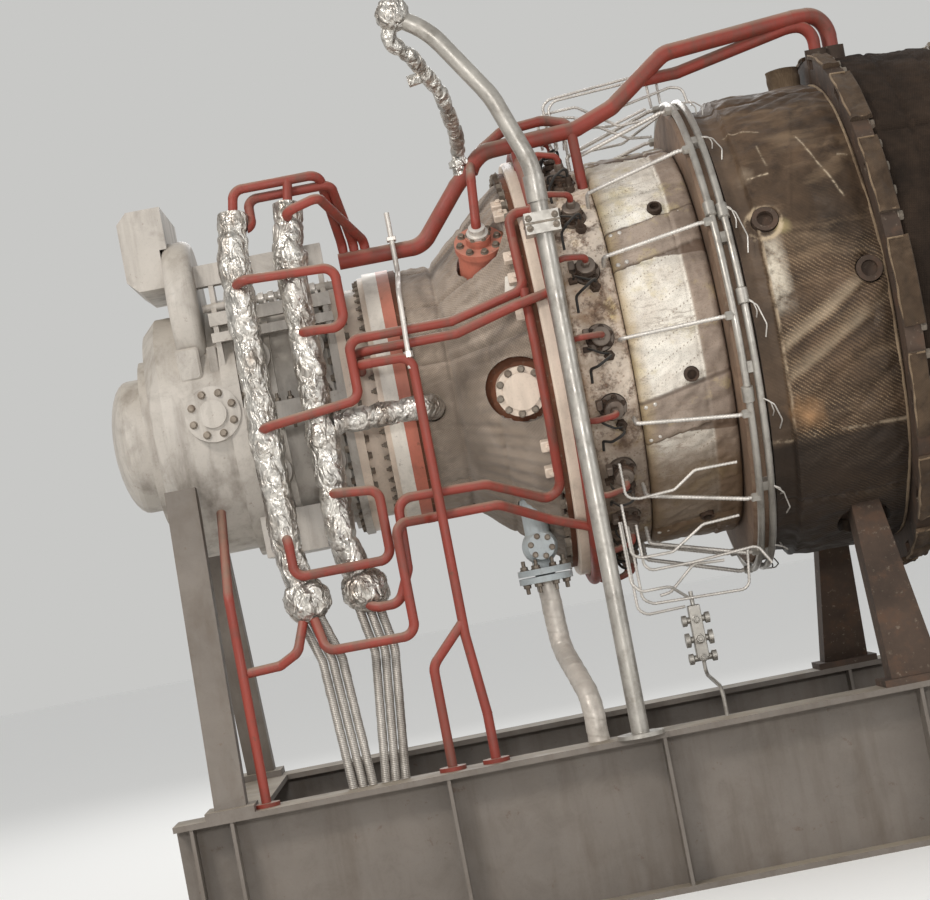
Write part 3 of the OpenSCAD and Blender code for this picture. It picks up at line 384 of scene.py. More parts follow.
def mottled(name):
    """Thin pale cloth soaked with brown and yellow stains, with painted shade towards the bottom."""
    f = Finish(name, 0.7, 0.0, 0.3)
    f.base(f.noise(6, 6, 0.7, 0.5).rise(0.34, 0.6), (150, 126, 104), (212, 197, 180))
    f.paint(f.noise(9, 5, 0.7).rise(0.55, 0.68, 0.6), (196, 172, 112))
    f.paint(f.noise(15, 7, 0.75).rise(0.5, 0.62, 0.85), (84, 62, 47))
    f.paint(f.cells(60).fall(0.14, 0.3, 0.5), (112, 72, 50))
    # Darker towards the bottom: painted shade under the shaft.
    f.paint(f.uneven_height(0.9, 6, 5, 0.25).fall(0.6, 0.85, 0.7), (70, 54, 42))
    return f.done((f.ridged(14, 4), 0.5, 0.014), (f.noise(140, 3), 0.2, 0.0012))


# Marks on the turbine blanket: painted highlight and shade on the folds behind its seam, worn lines, a pale rim, and
# spots of colour, some of them painted highlights
WEAVE_PITCH = 0.0100
FOLD_RISE, FOLD_START = 0.572, 0.634
RIM_PLACE = polar(0.678, 20, 0.872)
PALE_LINES = (
    (0.878, 44.7, 0.977, 22.0, 0.7),
    (0.735, 43.4, 0.750, 35.5, 0.4),
    (0.636, 51.8, 0.768, 48.1, 0.5),
    (0.665, 33.0, 0.748, 33.3, 0.8),
    (0.995, 35.2, 1.034, 34.5, 0.5),
)
# An orange stain low on the near side, and two pale spots up by the seam that are painted highlights.
STAIN_AND_HIGHLIGHT_SPOTS = (
    (polar(0.705, -26, 0.870), 0.16, (206, 158, 112)),
    (polar(0.735, 18, 0.870), 0.07, (186, 170, 122)),
    (polar(0.660, 35, 0.870), 0.10, (170, 152, 130)),
)


def heat_browned(name, radius, seam):
    """Thick woven glass cloth, browned by heat: diagonal weave that shows most at shaft height, with painted highlights
    and shade.
    """
    f = Finish(name, 0.6, 0.0, 0.22, 0.05)
    station, arc = f.round_shaft(radius)
    wobble = f.noise(22, 5) * 9.0
    turn = math.pi * math.sqrt(2) / WEAVE_PITCH
    cross = ((arc - station * 1.2) * turn + wobble).sine() * 0.28 + 0.72
    weave = ((station * 0.8 + arc) * turn + wobble).sine() * cross * 0.5 + 0.5
    round_share = arc / (2 * math.pi * radius) + 0.5
    shows = round_share.ramp((0.30, 0.7), (0.42, 1), (0.515, 1), (0.560, 0.06))
    shows *= station.ramp((seam - 0.01, 0.25), (seam + 0.02, 1))
    shows *= f.noise(4, 4).ramp((0.3, 0.35), (0.6, 1))
    patches = f.noise(2.6, 6, 0.62, 0.4)
    f.base(patches.rise(0.34, 0.62), (44, 34, 25), (94, 74, 56))
    f.paint(f.noise((3, 7, 12), 4, 0.55, 0.4).rise(0.5, 0.68, 0.5), (134, 112, 88))
    f.paint(f.noise(11, 7, 0.72).rise(0.5, 0.68, 0.65), (40, 30, 22))
    f.paint(weave.fall(0.1, 0.5) * (shows * 0.85), (48, 37, 28))
    lit = f.noise((4, 5, 9), 4, 0.6, 0.5).ramp((0.4, 0.15), (0.62, 0.8))
    lit *= f.noise(75, 3, 0.6).ramp((0.36, 0.2), (0.6, 1))
    f.paint(weave.rise(0.6, 0.92) * (shows * lit), (180, 154, 122))
    above = arc - station * FOLD_RISE + FOLD_START + f.noise(7, 3) * 0.03
    behind = station.ramp((seam, 0), (seam + 0.02, 1), (seam + 0.27, 1), (seam + 0.33, 0.2))
    # Painted highlight along the top of each fold behind the seam, and painted shade in the line under it.
    for lift, strength in ((0.0, 0.65), (0.105, 0.45)):
        at = above + lift
        f.paint(at.ramp((0.110, 0), (0.130, 0.7), (0.175, 0)) * behind * strength, (178, 160, 135))
        f.paint(at.ramp((0.070, 0), (0.100, 0.9), (0.112, 0)) * behind * strength, (50, 39, 31))
    # Painted highlight in a strip just behind the seam, at about shaft height.
    level = round_share.ramp((0.494, 0), (0.506, 1), (0.534, 1), (0.55, 0))
    strip = station.ramp((seam + 0.002, 0), (seam + 0.010, 1), (seam + 0.045, 0.8), (seam + 0.085, 0))
    f.paint(level * strip * f.noise(16, 5, 0.7).ramp((0.38, 0.1), (0.6, 0.9)), (214, 203, 184))
    worn = f.mix(patches.rise(0.3, 0.7), (64, 52, 42), (104, 86, 70))
    f.paint(station.fall(seam - 0.012, seam - 0.002, 0.75), worn)
    # Painted highlight in a thin pale line along the seam.
    seam_highlight = station.ramp((seam - 0.001, 0), (seam + 0.002, 0.8), (seam + 0.006, 0.8), (seam + 0.010, 0))
    seam_highlight *= round_share.ramp((0.415, 0), (0.425, 1), (0.545, 1), (0.57, 0))
    f.paint(seam_highlight * f.noise(18, 5, 0.7).ramp((0.42, 0.1), (0.58, 0.9)), (190, 170, 144))
    # The stain and the painted highlight spots.
    for place, size, colour in STAIN_AND_HIGHLIGHT_SPOTS:
        f.paint(f.spot(place, size) * 0.7, colour)
    for line in PALE_LINES:
        f.paint(f.worn_line(station, arc, radius, *line), (196, 178, 152))
    rim = f.away(RIM_PLACE).ramp((0.050, 0), (0.056, 1), (0.066, 1), (0.075, 0))
    f.paint(rim * f.noise(16, 4, 0.7).rise(0.4, 0.56, 0.85), (186, 166, 138))
    height = f.uneven_height(1.0, 5, 3, 0.05)
    # Painted shade over the lower part of the blanket, with a ragged pale line along its upper edge.
    pale_edge = height.ramp((0.568, 0), (0.576, 0.8), (0.586, 0))
    f.paint(pale_edge * f.noise(14, 5, 0.7).rise(0.46, 0.56, 0.9), (178, 160, 136))
    f.paint(height.fall(0.555, 0.575, 0.80), (40, 32, 26))
    bumps = (f.ridged((4, 7, 7), 5), 0.6, 0.030), (weave * shows, 0.6, 0.0025)
    return f.done(*bumps, rough=f.noise(8, 5).ramp((0.3, 0.42), (0.7, 0.75)))


def woven(name, light, dark, pitch, radius, diagonal, stain, sheen):
    """Woven lagging cloth round the shaft: weave, creases and stains, with painted shade along the creases and on its
    underside.
    """
    f = Finish(name, 0.9, 0.0, 0.15, sheen, 0.6)
    u, v = f.round_shaft(radius)
    if diagonal:
        u, v = u + v * 0.6, v - u * 0.6
    turn = 2 * math.pi / pitch
    wobble = f.noise(14, 3) * 1.4
    weave = (u * turn + wobble).sine() * (v * turn + wobble).sine() * 0.5 + 0.5
    f.base(f.noise(3.4, 6, 0.62, 0.4).rise(0.32, 0.68), dark, light)
    creases = f.noise((5, 9, 9), 6, 0.68, 0.6)
    # Painted shade in thin dark lines along the creases.
    f.paint(creases.fall(0.47, 0.5) * 0.18, tint(dark, 0.45))
    f.paint(f.noise(12, 7, 0.72).rise(0.5, 0.7) * stain, tint(dark, 0.5))
    f.paint(weave.fall(0.2, 0.8) * 0.42, tint(dark, 0.42))
    # Painted shade on faces that turn sideways or downwards.
    f.paint(f.facing_up().fall(0.0, 0.4, 0.35), tint(dark, 0.55))
    return f.done((creases, 0.5, 0.012), (weave, 0.7, 0.0016), (f.noise(300, 2), 0.2, 0.0006))


BRAID_WIRES, BRAID_RISE = 11, 500.0


def braided(name, colour):
    """Braided metal sleeve."""
    f = Finish(name, 0.45, 0.7)
    x, y, _ = f.split(f.normal())
    across = x.apply("ARCTAN2", y) * BRAID_WIRES
    height = f.split(f.place)[2] * BRAID_RISE
    weave = (across + height).sine() * (across - height).sine() * 0.5 + 0.5
    f.base(weave.rise(0.2, 0.8), tint(colour, 0.42), tint(colour, 1.2))
    f.paint(f.noise(5, 5).rise(0.35, 0.65) * 0.5, GRIME)
    return f.done((weave, 0.8, 0.002))


# What each maker of finishes is told after the name: colours first, then the numbers that it names
PAINTS = {
    "grey_paint": ((180, 173, 164), 0.5, 0.35, 0.45, 0.6),
    "cream_paint": ((216, 198, 180), 0.45, 0.25, 0.35, 0.3),
    "white_paint": ((226, 218, 206), 0.45, 0.3, 0.3, 0.4),
    "salmon_paint": ((190, 112, 92), 0.5, 0.5, 0.4, 0.4),
    "red_paint": ((136, 56, 44), 0.5, 0.55, 0.8, 0.75),
    "frame_paint": ((112, 104, 96), 0.6, 0.4, 0.8, 0.5),
    "valve_paint": ((176, 183, 184), 0.4, 0.25, 0.35, 0.3),
    "black_rubber": ((42, 40, 38), 0.7, 0.0, 0.4, 0.0),
}
METALS = {
    "steel": ((176, 171, 163), 0.75, 0.38, 0.45, GRIME),
    "bright_tube": ((206, 200, 192), 0.45, 0.34, 0.25, GRIME),
    "hose_wrap": ((196, 188, 178), 0.3, 0.42, 0.35, GRIME),
    "bolt_steel": ((132, 122, 110), 0.6, 0.5, 0.6, RUST),
    "burner_steel": ((120, 108, 98), 0.5, 0.5, 0.7, RUST),
}
HOT_METALS = {
    "dark_metal": ((70, 56, 46),),
    "rusty_casing": ((104, 64, 44),),
    "hot_flange": ((126, 104, 86),),
}
CLOTHS = {
    "beige_cloth": ((188, 172, 156), (140, 124, 108), 0.010, 0.55, False, 0.5, 0.2),
    "cord_cloth": ((176, 154, 126), (112, 92, 72), 0.006, POWER_R, False, 0.7, 0.05),
    "flap_cloth": ((116, 96, 76), (68, 54, 42), 0.006, POWER_R, False, 0.7, 0.05),
    "dark_cover_cloth": ((70, 56, 45), (38, 30, 24), 0.010, POWER_R, True, 0.5, 0.0),
}
FINISHES = {
    "foil": crinkled("foil", (216, 211, 203)),
    "silver_cloth": panelled("silver_cloth"),
    "stained_cloth": mottled("stained_cloth"),
    "brown_cloth": heat_browned("brown_cloth", TURBINE_R, SEAM_X),
    "braid": braided("braid", (190, 184, 176)),
}
for maker, table in ((painted, PAINTS), (bare, METALS), (heat_stained, HOT_METALS), (woven, CLOTHS)):
    for name, told in table.items():
        FINISHES[name] = maker(name, *told)

OWN_FINISH = {"drain_valve": "valve_paint", "diffuser_casing": "rusty_casing", "burners": "burner_steel",
              "instrument_tubes": "bright_tube", "turbine_flange": "hot_flange"}
NODE_SHARP, PIECE_SHARP, ROUND_SHARP, FOIL_SHARP = 28, 35, 60, 80


def smoothed(mesh, finish, sharp):
    """Gives a mesh its finish, and smooth faces up to an angle in degrees."""
    mesh.materials.append(FINISHES[finish])
    mesh.polygons.foreach_set("use_smooth", [True] * len(mesh.polygons))
    mesh.set_sharp_from_angle(angle=math.radians(sharp))


for part in frame["record"]["subparts"]:
    shown = frame["nodes"][part["node"]].data
    shown.materials.clear()
    smoothed(shown, OWN_FINISH.get(part["node"], part["material_slot"]), NODE_SHARP)


# Shapes
def placed(name, data, matrix=None):
    """A new object in the scene."""
    made = bpy.data.objects.new(name, data)
    if matrix:
        made.matrix_world = matrix
    bpy.context.scene.collection.objects.link(made)
    return made


def aimed(place, direction, front="Z"):
    """Matrix that moves to a place and turns the front axis to a direction."""
    return Matrix.Translation(place) @ Vector(direction).to_track_quat(front, "Y").to_matrix().to_4x4()


class Piece:
    """Collects the vertices and faces of one piece, in the row frame."""

    def __init__(self):
        self.verts, self.faces = [], []

    def add(self, verts, faces):
        base = len(self.verts)
        self.verts += [tuple(v) for v in verts]
        self.faces += [[base + i for i in face] for face in faces]

    def put(self, shape, place, direction):
        """Adds a shape made along +Z, with its origin at a place."""
        matrix = aimed(place, direction)
        self.add([matrix @ Vector(v) for v in shape[0]], shape[1])

    def stand(self, shape, x, elevation, radius):
        """Adds a shape that stands out from the shaft."""
        self.put(shape, polar(x, elevation, radius), outward(elevation))

    def tube(self, points, bend, radius, sides, step=None, turn=14):
        """Adds a tube through the points; a step gives it rings an even distance apart."""
        route = rounded(points, bend, turn)
        self.add(*swept(resampled(route, step) if step else route, radius, sides))

    def make(self, name, slot, finish=None, sharp=PIECE_SHARP):
        """Turns what was collected into an object; the finish is the slot's own unless one is named."""
        mesh = bpy.data.meshes.new(name)
        mesh.from_pydata(self.verts, [], self.faces)
        mesh.validate()
        mesh.update()
        smoothed(mesh, finish or slot, sharp)
        made = placed(name, mesh)
        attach(made, "root")
        return made


def skin(rings, sides, closed=False):
    """Faces over rings of vertices, with a cap at both ends unless the rings close on themselves."""
    faces = []
    for i in range(rings if closed else rings - 1):
        low, high = i * sides, (i + 1) % rings * sides
        for k in range(sides):
            other = (k + 1) % sides
            faces.append([low + k, low + other, high + other, high + k])
    if not closed:
        faces.append(list(range(sides))[::-1])
        faces.append([(rings - 1) * sides + k for k in range(sides)])
    return faces


def lathe(sides, *profile):
    """A closed turned shape along +Z from (radius, height) points."""
    turns = [2 * math.pi * k / sides for k in range(sides)]
    verts = [(radius * math.cos(a), radius * math.sin(a), height) for radius, height in profile for a in turns]
    return verts, skin(len(profile), sides)


def merged(*shapes):
    """Several shapes as one."""
    whole = Piece()
    for shape in shapes:
        whole.add(*shape)
    return whole.verts, whole.faces


def hexagon(d, base, head):
    """Hex head with a chamfered top; d is the width across its corners."""
    return lathe(6, (d / 2, base), (d / 2, base + head * 0.82), (d * 0.42, base + head))


def bolt(d):
    """Hex bolt head on its washer."""
    base = 0.12 * d
    return merged(lathe(16, (d * 0.62, 0), (d * 0.62, base * 0.8), (d * 0.58, base)), hexagon(d, base, 0.45 * d))


def stud(d, length=None):
    """Nut with the end of its stud standing out."""
    length = length or 0.9 * d
    return merged(bolt(d), lathe(12, (d * 0.25, 0), (d * 0.25, length), (d * 0.2, length + d * 0.06)))


def fitting(sides, bore, size, half, slope=0.004, lip=0.0):
    """A union or collar round a tube: bore and outer radius, half length, and the length of its slopes."""
    return lathe(sides, (bore, -half), (size, slope - half - lip), (size, half - slope + lip), (bore, half))


def box(x, y, z, edge=0.12):
    """A block on Z = 0, centred on the axis, with small chamfers."""
    c = min(x, y, z) * edge
    verts = []
    for a, b, h in ((x / 2 - c, y / 2 - c, 0), (x / 2, y / 2, c), (x / 2, y / 2, z - c), (x / 2 - c, y / 2 - c, z)):
        verts += [(a, b - c, h), (a - c, b, h), (c - a, b, h), (-a, b - c, h),
                  (-a, c - b, h), (c - a, -b, h), (a - c, -b, h), (a, c - b, h)]
    return verts, skin(4, 8)


def rounded(points, bend, step=14):
    """The route through the points with its corners rounded; step is the turn in degrees between points."""
    points = [Vector(p) for p in points]
    route = [points[0]]
    for before, corner, after in zip(points, points[1:], points[2:]):
        a, b = (before - corner), (after - corner)
        turn = math.pi - a.angle(b)
        if turn < 0.03:
            route.append(corner)
            continue
        trim = min(bend * math.tan(turn / 2), a.length * 0.48, b.length * 0.48)
        radius = trim / math.tan(turn / 2)
        start, end = corner + a.normalized() * trim, corner + b.normalized() * trim
        centre = corner + (a.normalized() + b.normalized()).normalized() * (radius / math.cos(turn / 2))
        count = max(2, round(math.degrees(turn) / step))
        for i in range(count + 1):
            way = (start - centre).normalized().slerp((end - centre).normalized(), i / count)
            route.append(centre + way * radius)
    return route + [points[-1]]


def resampled(route, step):
    """The same route with points an even distance apart."""
    lengths = [0.0]
    for a, b in zip(route, route[1:]):
        lengths.append(lengths[-1] + (b - a).length)
    count = max(2, round(lengths[-1] / step))
    result, at = [], 0
    for i in range(count + 1):
        want = lengths[-1] * i / count
        while at < len(lengths) - 2 and lengths[at + 1] < want:
            at += 1
        leg = lengths[at + 1] - lengths[at]
        result.append(route[at].lerp(route[at + 1], (want - lengths[at]) / leg if leg else 0))
    return result


def swept(route, radius, sides, closed=False):
    """A tube along the route. The radius is a number, or a function of (length along, angle, point)."""
    count = len(route)
    tangents = []
    for i in range(count):
        a = route[i - 1] if i or closed else route[i]
        b = route[(i + 1) % count] if i < count - 1 or closed else route[i]
        tangents.append((b - a).normalized())
    side = tangents[0].orthogonal().normalized()
    verts, length = [], 0.0
    for i, point in enumerate(route):
        side = (side - tangents[i] * side.dot(tangents[i])).normalized()
        other = tangents[i].cross(side)
        if i:
            length += (point - route[i - 1]).length
        for k in range(sides):
            a = 2 * math.pi * k / sides
            way = side * math.cos(a) + other * math.sin(a)
            r = radius(length, a, point + way * 0.03) if callable(radius) else radius
            verts.append(point + way * r)
    return verts, skin(count, sides, closed)


def bolt_ring(piece, shape, count, x, radius, direction, first=0.0):
    """A ring of bolts round the shaft, on a flange face."""
    for i in range(count):
        piece.put(shape, polar(x, first + 360 * i / count, radius), direction)


def bolt_circle(piece, shape, middle, direction, radius, count, first=0.0):
    """Bolts in a circle on a small flat face."""
    direction = Vector(direction).normalized()
    side = direction.orthogonal().normalized()
    other = direction.cross(side)
    for i in range(count):
        a = math.radians(first + 360 * i / count)
        piece.put(shape, middle + (side * math.cos(a) + other * math.sin(a)) * radius, direction)


# Uneven surfaces of cloth and foil
def crumple(point, size, depth, seed=0.0):
    """Smooth uneven height at a point, with folds of about the given size."""
    p = Vector(point) / size + Vector((seed, seed * 1.7, -seed))
    return depth * (noise.noise(p) * 0.7 + noise.noise(p * 2.3) * 0.3)


def folds(point, size, depth, seed=0.0):
    """Sharp creases of about the given size."""
    p = Vector(point) / size + Vector((seed, -seed, seed * 0.6))
    return depth * (abs(noise.noise(p)) + 0.5 * abs(noise.noise(p * 2.1)) - 0.3)


def slanted(x, elevation, radius, slope, stretch=0.35):
    """A point whose pattern is drawn out along the shaft and climbs with it."""
    turn = math.radians(elevation - slope * x)
    return Vector((x * stretch, radius * math.cos(turn), radius * math.sin(turn)))


def dent(distance, width):
    """Depth of a sewn line, from 0 to 1, at a distance from it."""
    return math.exp(-((distance / width) ** 2))


def step_up(distance, width):
    """0 well before a line and 1 well after it."""
    return 1 / (1 + math.exp(max(-40.0, min(40.0, -4 * distance / width))))


def to_seam(elevation, offset, spacing, radius):
    """Distance round the shaft to the nearest of evenly spaced lengthwise seams."""
    return math.radians((elevation - offset) % spacing - spacing / 2) * radius


def soft_edge(share, steepness, lowest):
    """Thickness across a padded band: a lowest share at its edges, rising to 1."""
    near = min(1.0, min(share, 1 - share) * steepness)
    return lowest + (1 - lowest) * math.sqrt(1 - (1 - near) ** 2)


def straight(x0, x1, r_out, r_in, edge=0.4):
    """Profile of a plain padded band whose edges are rounded."""
    def profile(share):
        return x0 + (x1 - x0) * share, r_in + (r_out - r_in) * soft_edge(share, 12, edge), r_in
    return profile


def cells(count):
    return int(count * (1.0))


# Lagging blankets
def round_holes(carrier, radius, *places):
    """Holes of one radius at (station, elevation) places."""
    return [(polar(x, elevation, carrier), outward(elevation), radius) for x, elevation in places]


def off_axis(point, middle, axis):
    """How far a point lies along a hole's axis, and its offset across it."""
    off = point - middle
    along = off.dot(axis)
    return along, off - axis * along


def blanket(name, slot, finish, nodes, profile, relief, rows, around, holes=(), start=0.0, sweep=360.0):
    """A padded shell round the shaft.

    profile(share) gives (station, outer radius, inner radius). relief(station, elevation, point) moves the
    outer face. Each hole is (middle, axis, radius).
    """
    rows, around = cells(rows), cells(around)
    columns = around if sweep == 360.0 else around + 1
    outer, inner = [], []
    for i in range(rows + 1):
        x, r_out, r_in = profile(i / rows)
        ease = min(1.0, min(i, rows - i) / rows * 10 + 0.25)
        for k in range(columns):
            elevation = start + sweep * k / around
            height = relief(x, elevation, polar(x, elevation, r_out)) * ease
            outer.append(polar(x, elevation, max(r_out + height, r_in + 0.004)))
            inner.append(polar(x, elevation, r_in))
    holes = [(middle, axis.normalized(), radius) for middle, axis, radius in holes]
    inside = set()
    for middle, axis, radius in holes:
        for index, point in enumerate(outer):
            along, across = off_axis(point, middle, axis)
            if along > -0.2 and across.length < radius:
                inside.add(index)
    kept = []
    for i in range(rows):
        for k in range(around):
            a, b = i * columns + k, i * columns + (k + 1) % columns
            quad = [a, a + columns, b + columns, b]
            if not inside.issuperset(quad):
                kept.append(quad)
    rim = inside.intersection(*[[q for quad in kept for q in quad]])
    for middle, axis, radius in holes:
        for index in rim:
            for shell in (outer, inner):
                along, across = off_axis(shell[index], middle, axis)
                if along > -0.3 and 1e-6 < across.length < radius:
                    shell[index] = middle + axis * along + across.normalized() * radius
    back = len(outer)
    faces = []
    for quad in kept:
        faces += [quad, [back + q for q in reversed(quad)]]
    edges = dict.fromkeys((a, b) for quad in kept for a, b in zip(quad, quad[1:] + quad[:1]))
    faces += [[b, a, back + a, back + b] for a, b in edges if (b, a) not in edges]
    order = list(dict.fromkeys(v for face in faces for v in face))
    numbers = {v: number for number, v in enumerate(order)}
    both = outer + inner
    piece = Piece()
    piece.add([both[v] for v in order], [[numbers[v] for v in face] for face in faces])
    made = piece.make(name, slot, finish, ROUND_SHARP)
    if nodes:
        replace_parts(made, *nodes)


# Diffuser blanket: quilted barrel, then a pleated cone
DIFF_BL_X0, DIFF_BL_X1 = span("diffuser_blanket")
DIFF_BL_T = 0.036
CONE_SEAM_X = -0.330


def diffuser_profile(share):
    x = DIFF_BL_X0 + (DIFF_BL_X1 - DIFF_BL_X0) * share
    carrier = CONE_R0 + CONE_SLOPE * max(0.0, x - CONE_X0) + SEAT
    return x, carrier + DIFF_BL_T * soft_edge(share, 14, 0.35), carrier


def diffuser_relief(x, elevation, point):
    height = crumple(point, 0.11, 0.007, 3)
    height -= 0.011 * dent(x - CONE_X0, 0.010) + 0.008 * dent(x - CONE_SEAM_X, 0.006)
    height -= 0.010 * dent(to_seam(elevation, -7, 30, 0.55), 0.008)
    if x > CONE_X0:
        gather = math.sin(math.radians(elevation) * 74 + 2.5 * noise.noise(Vector(point) * 3))
        height += 0.0035 * gather * min(1, (x - CONE_X0) / 0.1)
    else:
        quilt = math.sin(math.radians(elevation) * 36) * math.sin((x - DIFF_BL_X0) * 70)
        height += 0.003 * abs(quilt) + folds(point, 0.028, 0.004, 15)
    return height + folds(point, 0.06, 0.006, 5)


blanket("diffuser_lagging", "beige_cloth", None, ["diffuser_blanket"], diffuser_profile, diffuser_relief, 70, 400,
        round_holes(CONE_R0, 0.095, UPPER_BOSS) + round_holes(CONE_R0, 0.118, SIDE_BOSS)
        + [(shaft(BRANCH_X, -0.35, BRANCH_Z), NEAR, 0.048), (shaft(VALVE_X, VALVE_Y, -0.5), -UP, 0.049)])

# Foil faced blanket round the combustor: panels with raised strips and an edge band
FOIL_X0, FOIL_X1 = span("foil_blanket")
FOIL_T = 0.034
SAMPLE_PORTS = [(0.348, 38.5 + i * PANEL_TURN) for i in range(PANELS)]
SAMPLE_PORT_R = 0.026


def foil_relief(x, elevation, point):
    degrees = elevation - STRIP_SLOPE * (x - STRIP_X) - STRIP_LOW
    share = (degrees % PANEL_TURN) * math.radians(COMB_R)
    width = math.radians(STRIP_HIGH - STRIP_LOW) * COMB_R
    whole = math.radians(PANEL_TURN) * COMB_R
    strip = step_up(share - 0.004, 0.006) * (1 - step_up(share - width, 0.006)) + step_up(share - whole, 0.006)
    field = max(0.0, (share - width) / (whole - width))
    height = 0.007 * strip - 0.008 + 0.004 * math.sin(math.pi * field)
    height += 0.004 * step_up(x - BAND_X, 0.005)
    height -= 0.006 * dent(share - width - 0.006, 0.006) + 0.006 * dent(share, 0.006)
    height -= 0.004 * dent(x - BAND_X + 0.006, 0.005)
    height += folds(slanted(x, elevation, COMB_R, 34, 0.3), 0.040, 0.010, 12)
    return height + folds(point, 0.085, 0.006, 9) + folds(point, 0.03, 0.0035, 2)


blanket("combustor_lagging", "silver_cloth", None, ["foil_blanket"],
        straight(FOIL_X0, FOIL_X1, COMB_R + FOIL_T, COMB_R + SEAT), foil_relief, 56, 460,
        round_holes(COMB_R, SAMPLE_PORT_R + 0.002, *SAMPLE_PORTS))

sample_ports = Piece()
socket = lathe(28, (SAMPLE_PORT_R, 0), (SAMPLE_PORT_R, FOIL_T + 0.008), (0.024, FOIL_T + 0.010),
               (0.017, FOIL_T + 0.010), (0.017, FOIL_T - 0.014))
for x, elevation in SAMPLE_PORTS:
    sample_ports.stand(socket, x, elevation, COMB_R + SEAT)
sample_ports.make("sample_ports", "dark_metal")

# Snap buttons along the sloping strips
buttons = Piece()
button = lathe(14, (0.0, 0.005), (0.004, 0.005), (0.007, 0.003), (0.0085, 0.0))
for i in range(PANELS):
    for x in (FOIL_X0 + 0.020, FOIL_X0 + 0.052, BAND_X + 0.030):
        for rise in (1.6, STRIP_HIGH - STRIP_LOW - 1.4):
            elevation = STRIP_LOW + STRIP_SLOPE * (x - STRIP_X) + rise + i * PANEL_TURN
            buttons.stand(button, x, elevation, COMB_R + FOIL_T - 0.0035)
buttons.make("snap_buttons", "steel", "bright_tube", ROUND_SHARP)

# Stained cloth between the burners, open round each burner foot and tube
BURNERS = [(BURNER_X, 90 - (360 * i / BURNER_COUNT + BURNER_TURN)) for i in range(BURNER_COUNT)]
TUBE_COUNT = 16
TUBE_FEET = [(BURNER_X + 0.066, 360 * i / TUBE_COUNT) for i in range(TUBE_COUNT)]
PIPE_FOOT = (0.130, 58)


def stained_relief(x, elevation, point):
    return folds(point, 0.05, 0.006, 17) + crumple(point, 0.12, 0.004, 8) - 0.002


blanket("burner_zone_cloth", "brown_cloth", "stained_cloth", (),
        straight(COMB_X1 + 0.003, FOIL_X0 - 0.003, COMB_R + 0.020, COMB_R + SEAT), stained_relief, 26, 400,
        round_holes(COMB_R, 0.051, *BURNERS) + round_holes(COMB_R, 0.010, *TUBE_FEET)
        + round_holes(COMB_R, 0.022, PIPE_FOOT))

# Thick woven blanket round the turbine
TB_X0, TB_X1 = span("turbine_blanket")
TB_T = 0.050
PORTS = ((0.689, 21), (1.000, 4.7), (0.689, 159), (1.000, 175.3))
TOP_BOSS = (0.985, 90)
LEG_X = sum(span("rear_leg_near")) / 2


def turbine_profile(share):
    x = TB_X0 + (TB_X1 - TB_X0) * share
    rise = min(1.0, 0.55 + (x - TB_X0) / 0.30)
    fall = min(1.0, 0.78 + (TB_X1 - x) / 0.25)
    return x, TURBINE_R + SEAT + TB_T * min(rise, fall), TURBINE_R + SEAT


def turbine_relief(x, elevation, point):
    height = crumple(point, 0.24, 0.012, 1) + folds(point, 0.15, 0.012, 4)
    height -= 0.013 * (1 - step_up(x - SEAM_X, 0.008))
    height += 0.006 * dent(x - SEAM_X - 0.008 - 0.006 * noise.noise(Vector(point) * 9), 0.007)
    height -= 0.009 * dent(to_seam(elevation, 38, 60, TURBINE_R), 0.009)
    if 22 < elevation < 55:
        height += 0.005 * dent(x - 0.83 - 0.0036 * (elevation - 36), 0.006)
    level = math.radians(elevation + 6 - 40 * (x - 0.8)) * TURBINE_R
    past_seam = step_up(x - SEAM_X, 0.01)
    height += (0.012 * dent(level - 0.035, 0.030) - 0.012 * dent(level, 0.012)) * past_seam
    height += folds(slanted(x, elevation, TURBINE_R, 40), 0.075, 0.012, 31) * past_seam
    for port_x, port_turn in PORTS:
        away = (point - polar(port_x, port_turn, TURBINE_R + TB_T)).length
        height += 0.010 * dent(away - 0.080, 0.03)
    return height - 0.002


blanket("turbine_lagging", "brown_cloth", None, ["turbine_blanket"], turbine_profile, turbine_relief, 92, 470,
        round_holes(TURBINE_R, 0.049, *PORTS) + round_holes(TURBINE_R, 0.064, TOP_BOSS)
        + round_holes(TURBINE_R - 0.1, 0.098, (LEG_X, -64), (LEG_X, -116)))

# Cloth flaps over the rim of the notched flange; the gaps between them show the dark metal
FLAPS = 15
FLAP_GAP = 5.5
FLAP_SWEEP = 360 / FLAPS - FLAP_GAP
FLAP_STARTS = [12 + FLAP_GAP / 2 + i * 360 / FLAPS for i in range(FLAPS)]
RIM_R = 0.950


def flap_relief(x, elevation, point):
    wave = 0.004 * math.sin(math.radians(elevation) * 31) + folds(point, 0.07, 0.012, 27)
    return wave + 0.003 * math.sin((x - POWER_X0) * 90)


for i, start in enumerate(FLAP_STARTS):
    rear = POWER_X0 + 0.074 + 0.010 * math.sin(i * 2.3)
    blanket(f"rim_flap_{i + 1}", "brown_cloth", "flap_cloth", (),
            straight(POWER_X0 + 0.001, rear, RIM_R + 0.016, RIM_R + 0.001),
            flap_relief, 20, 40, start=start, sweep=FLAP_SWEEP)

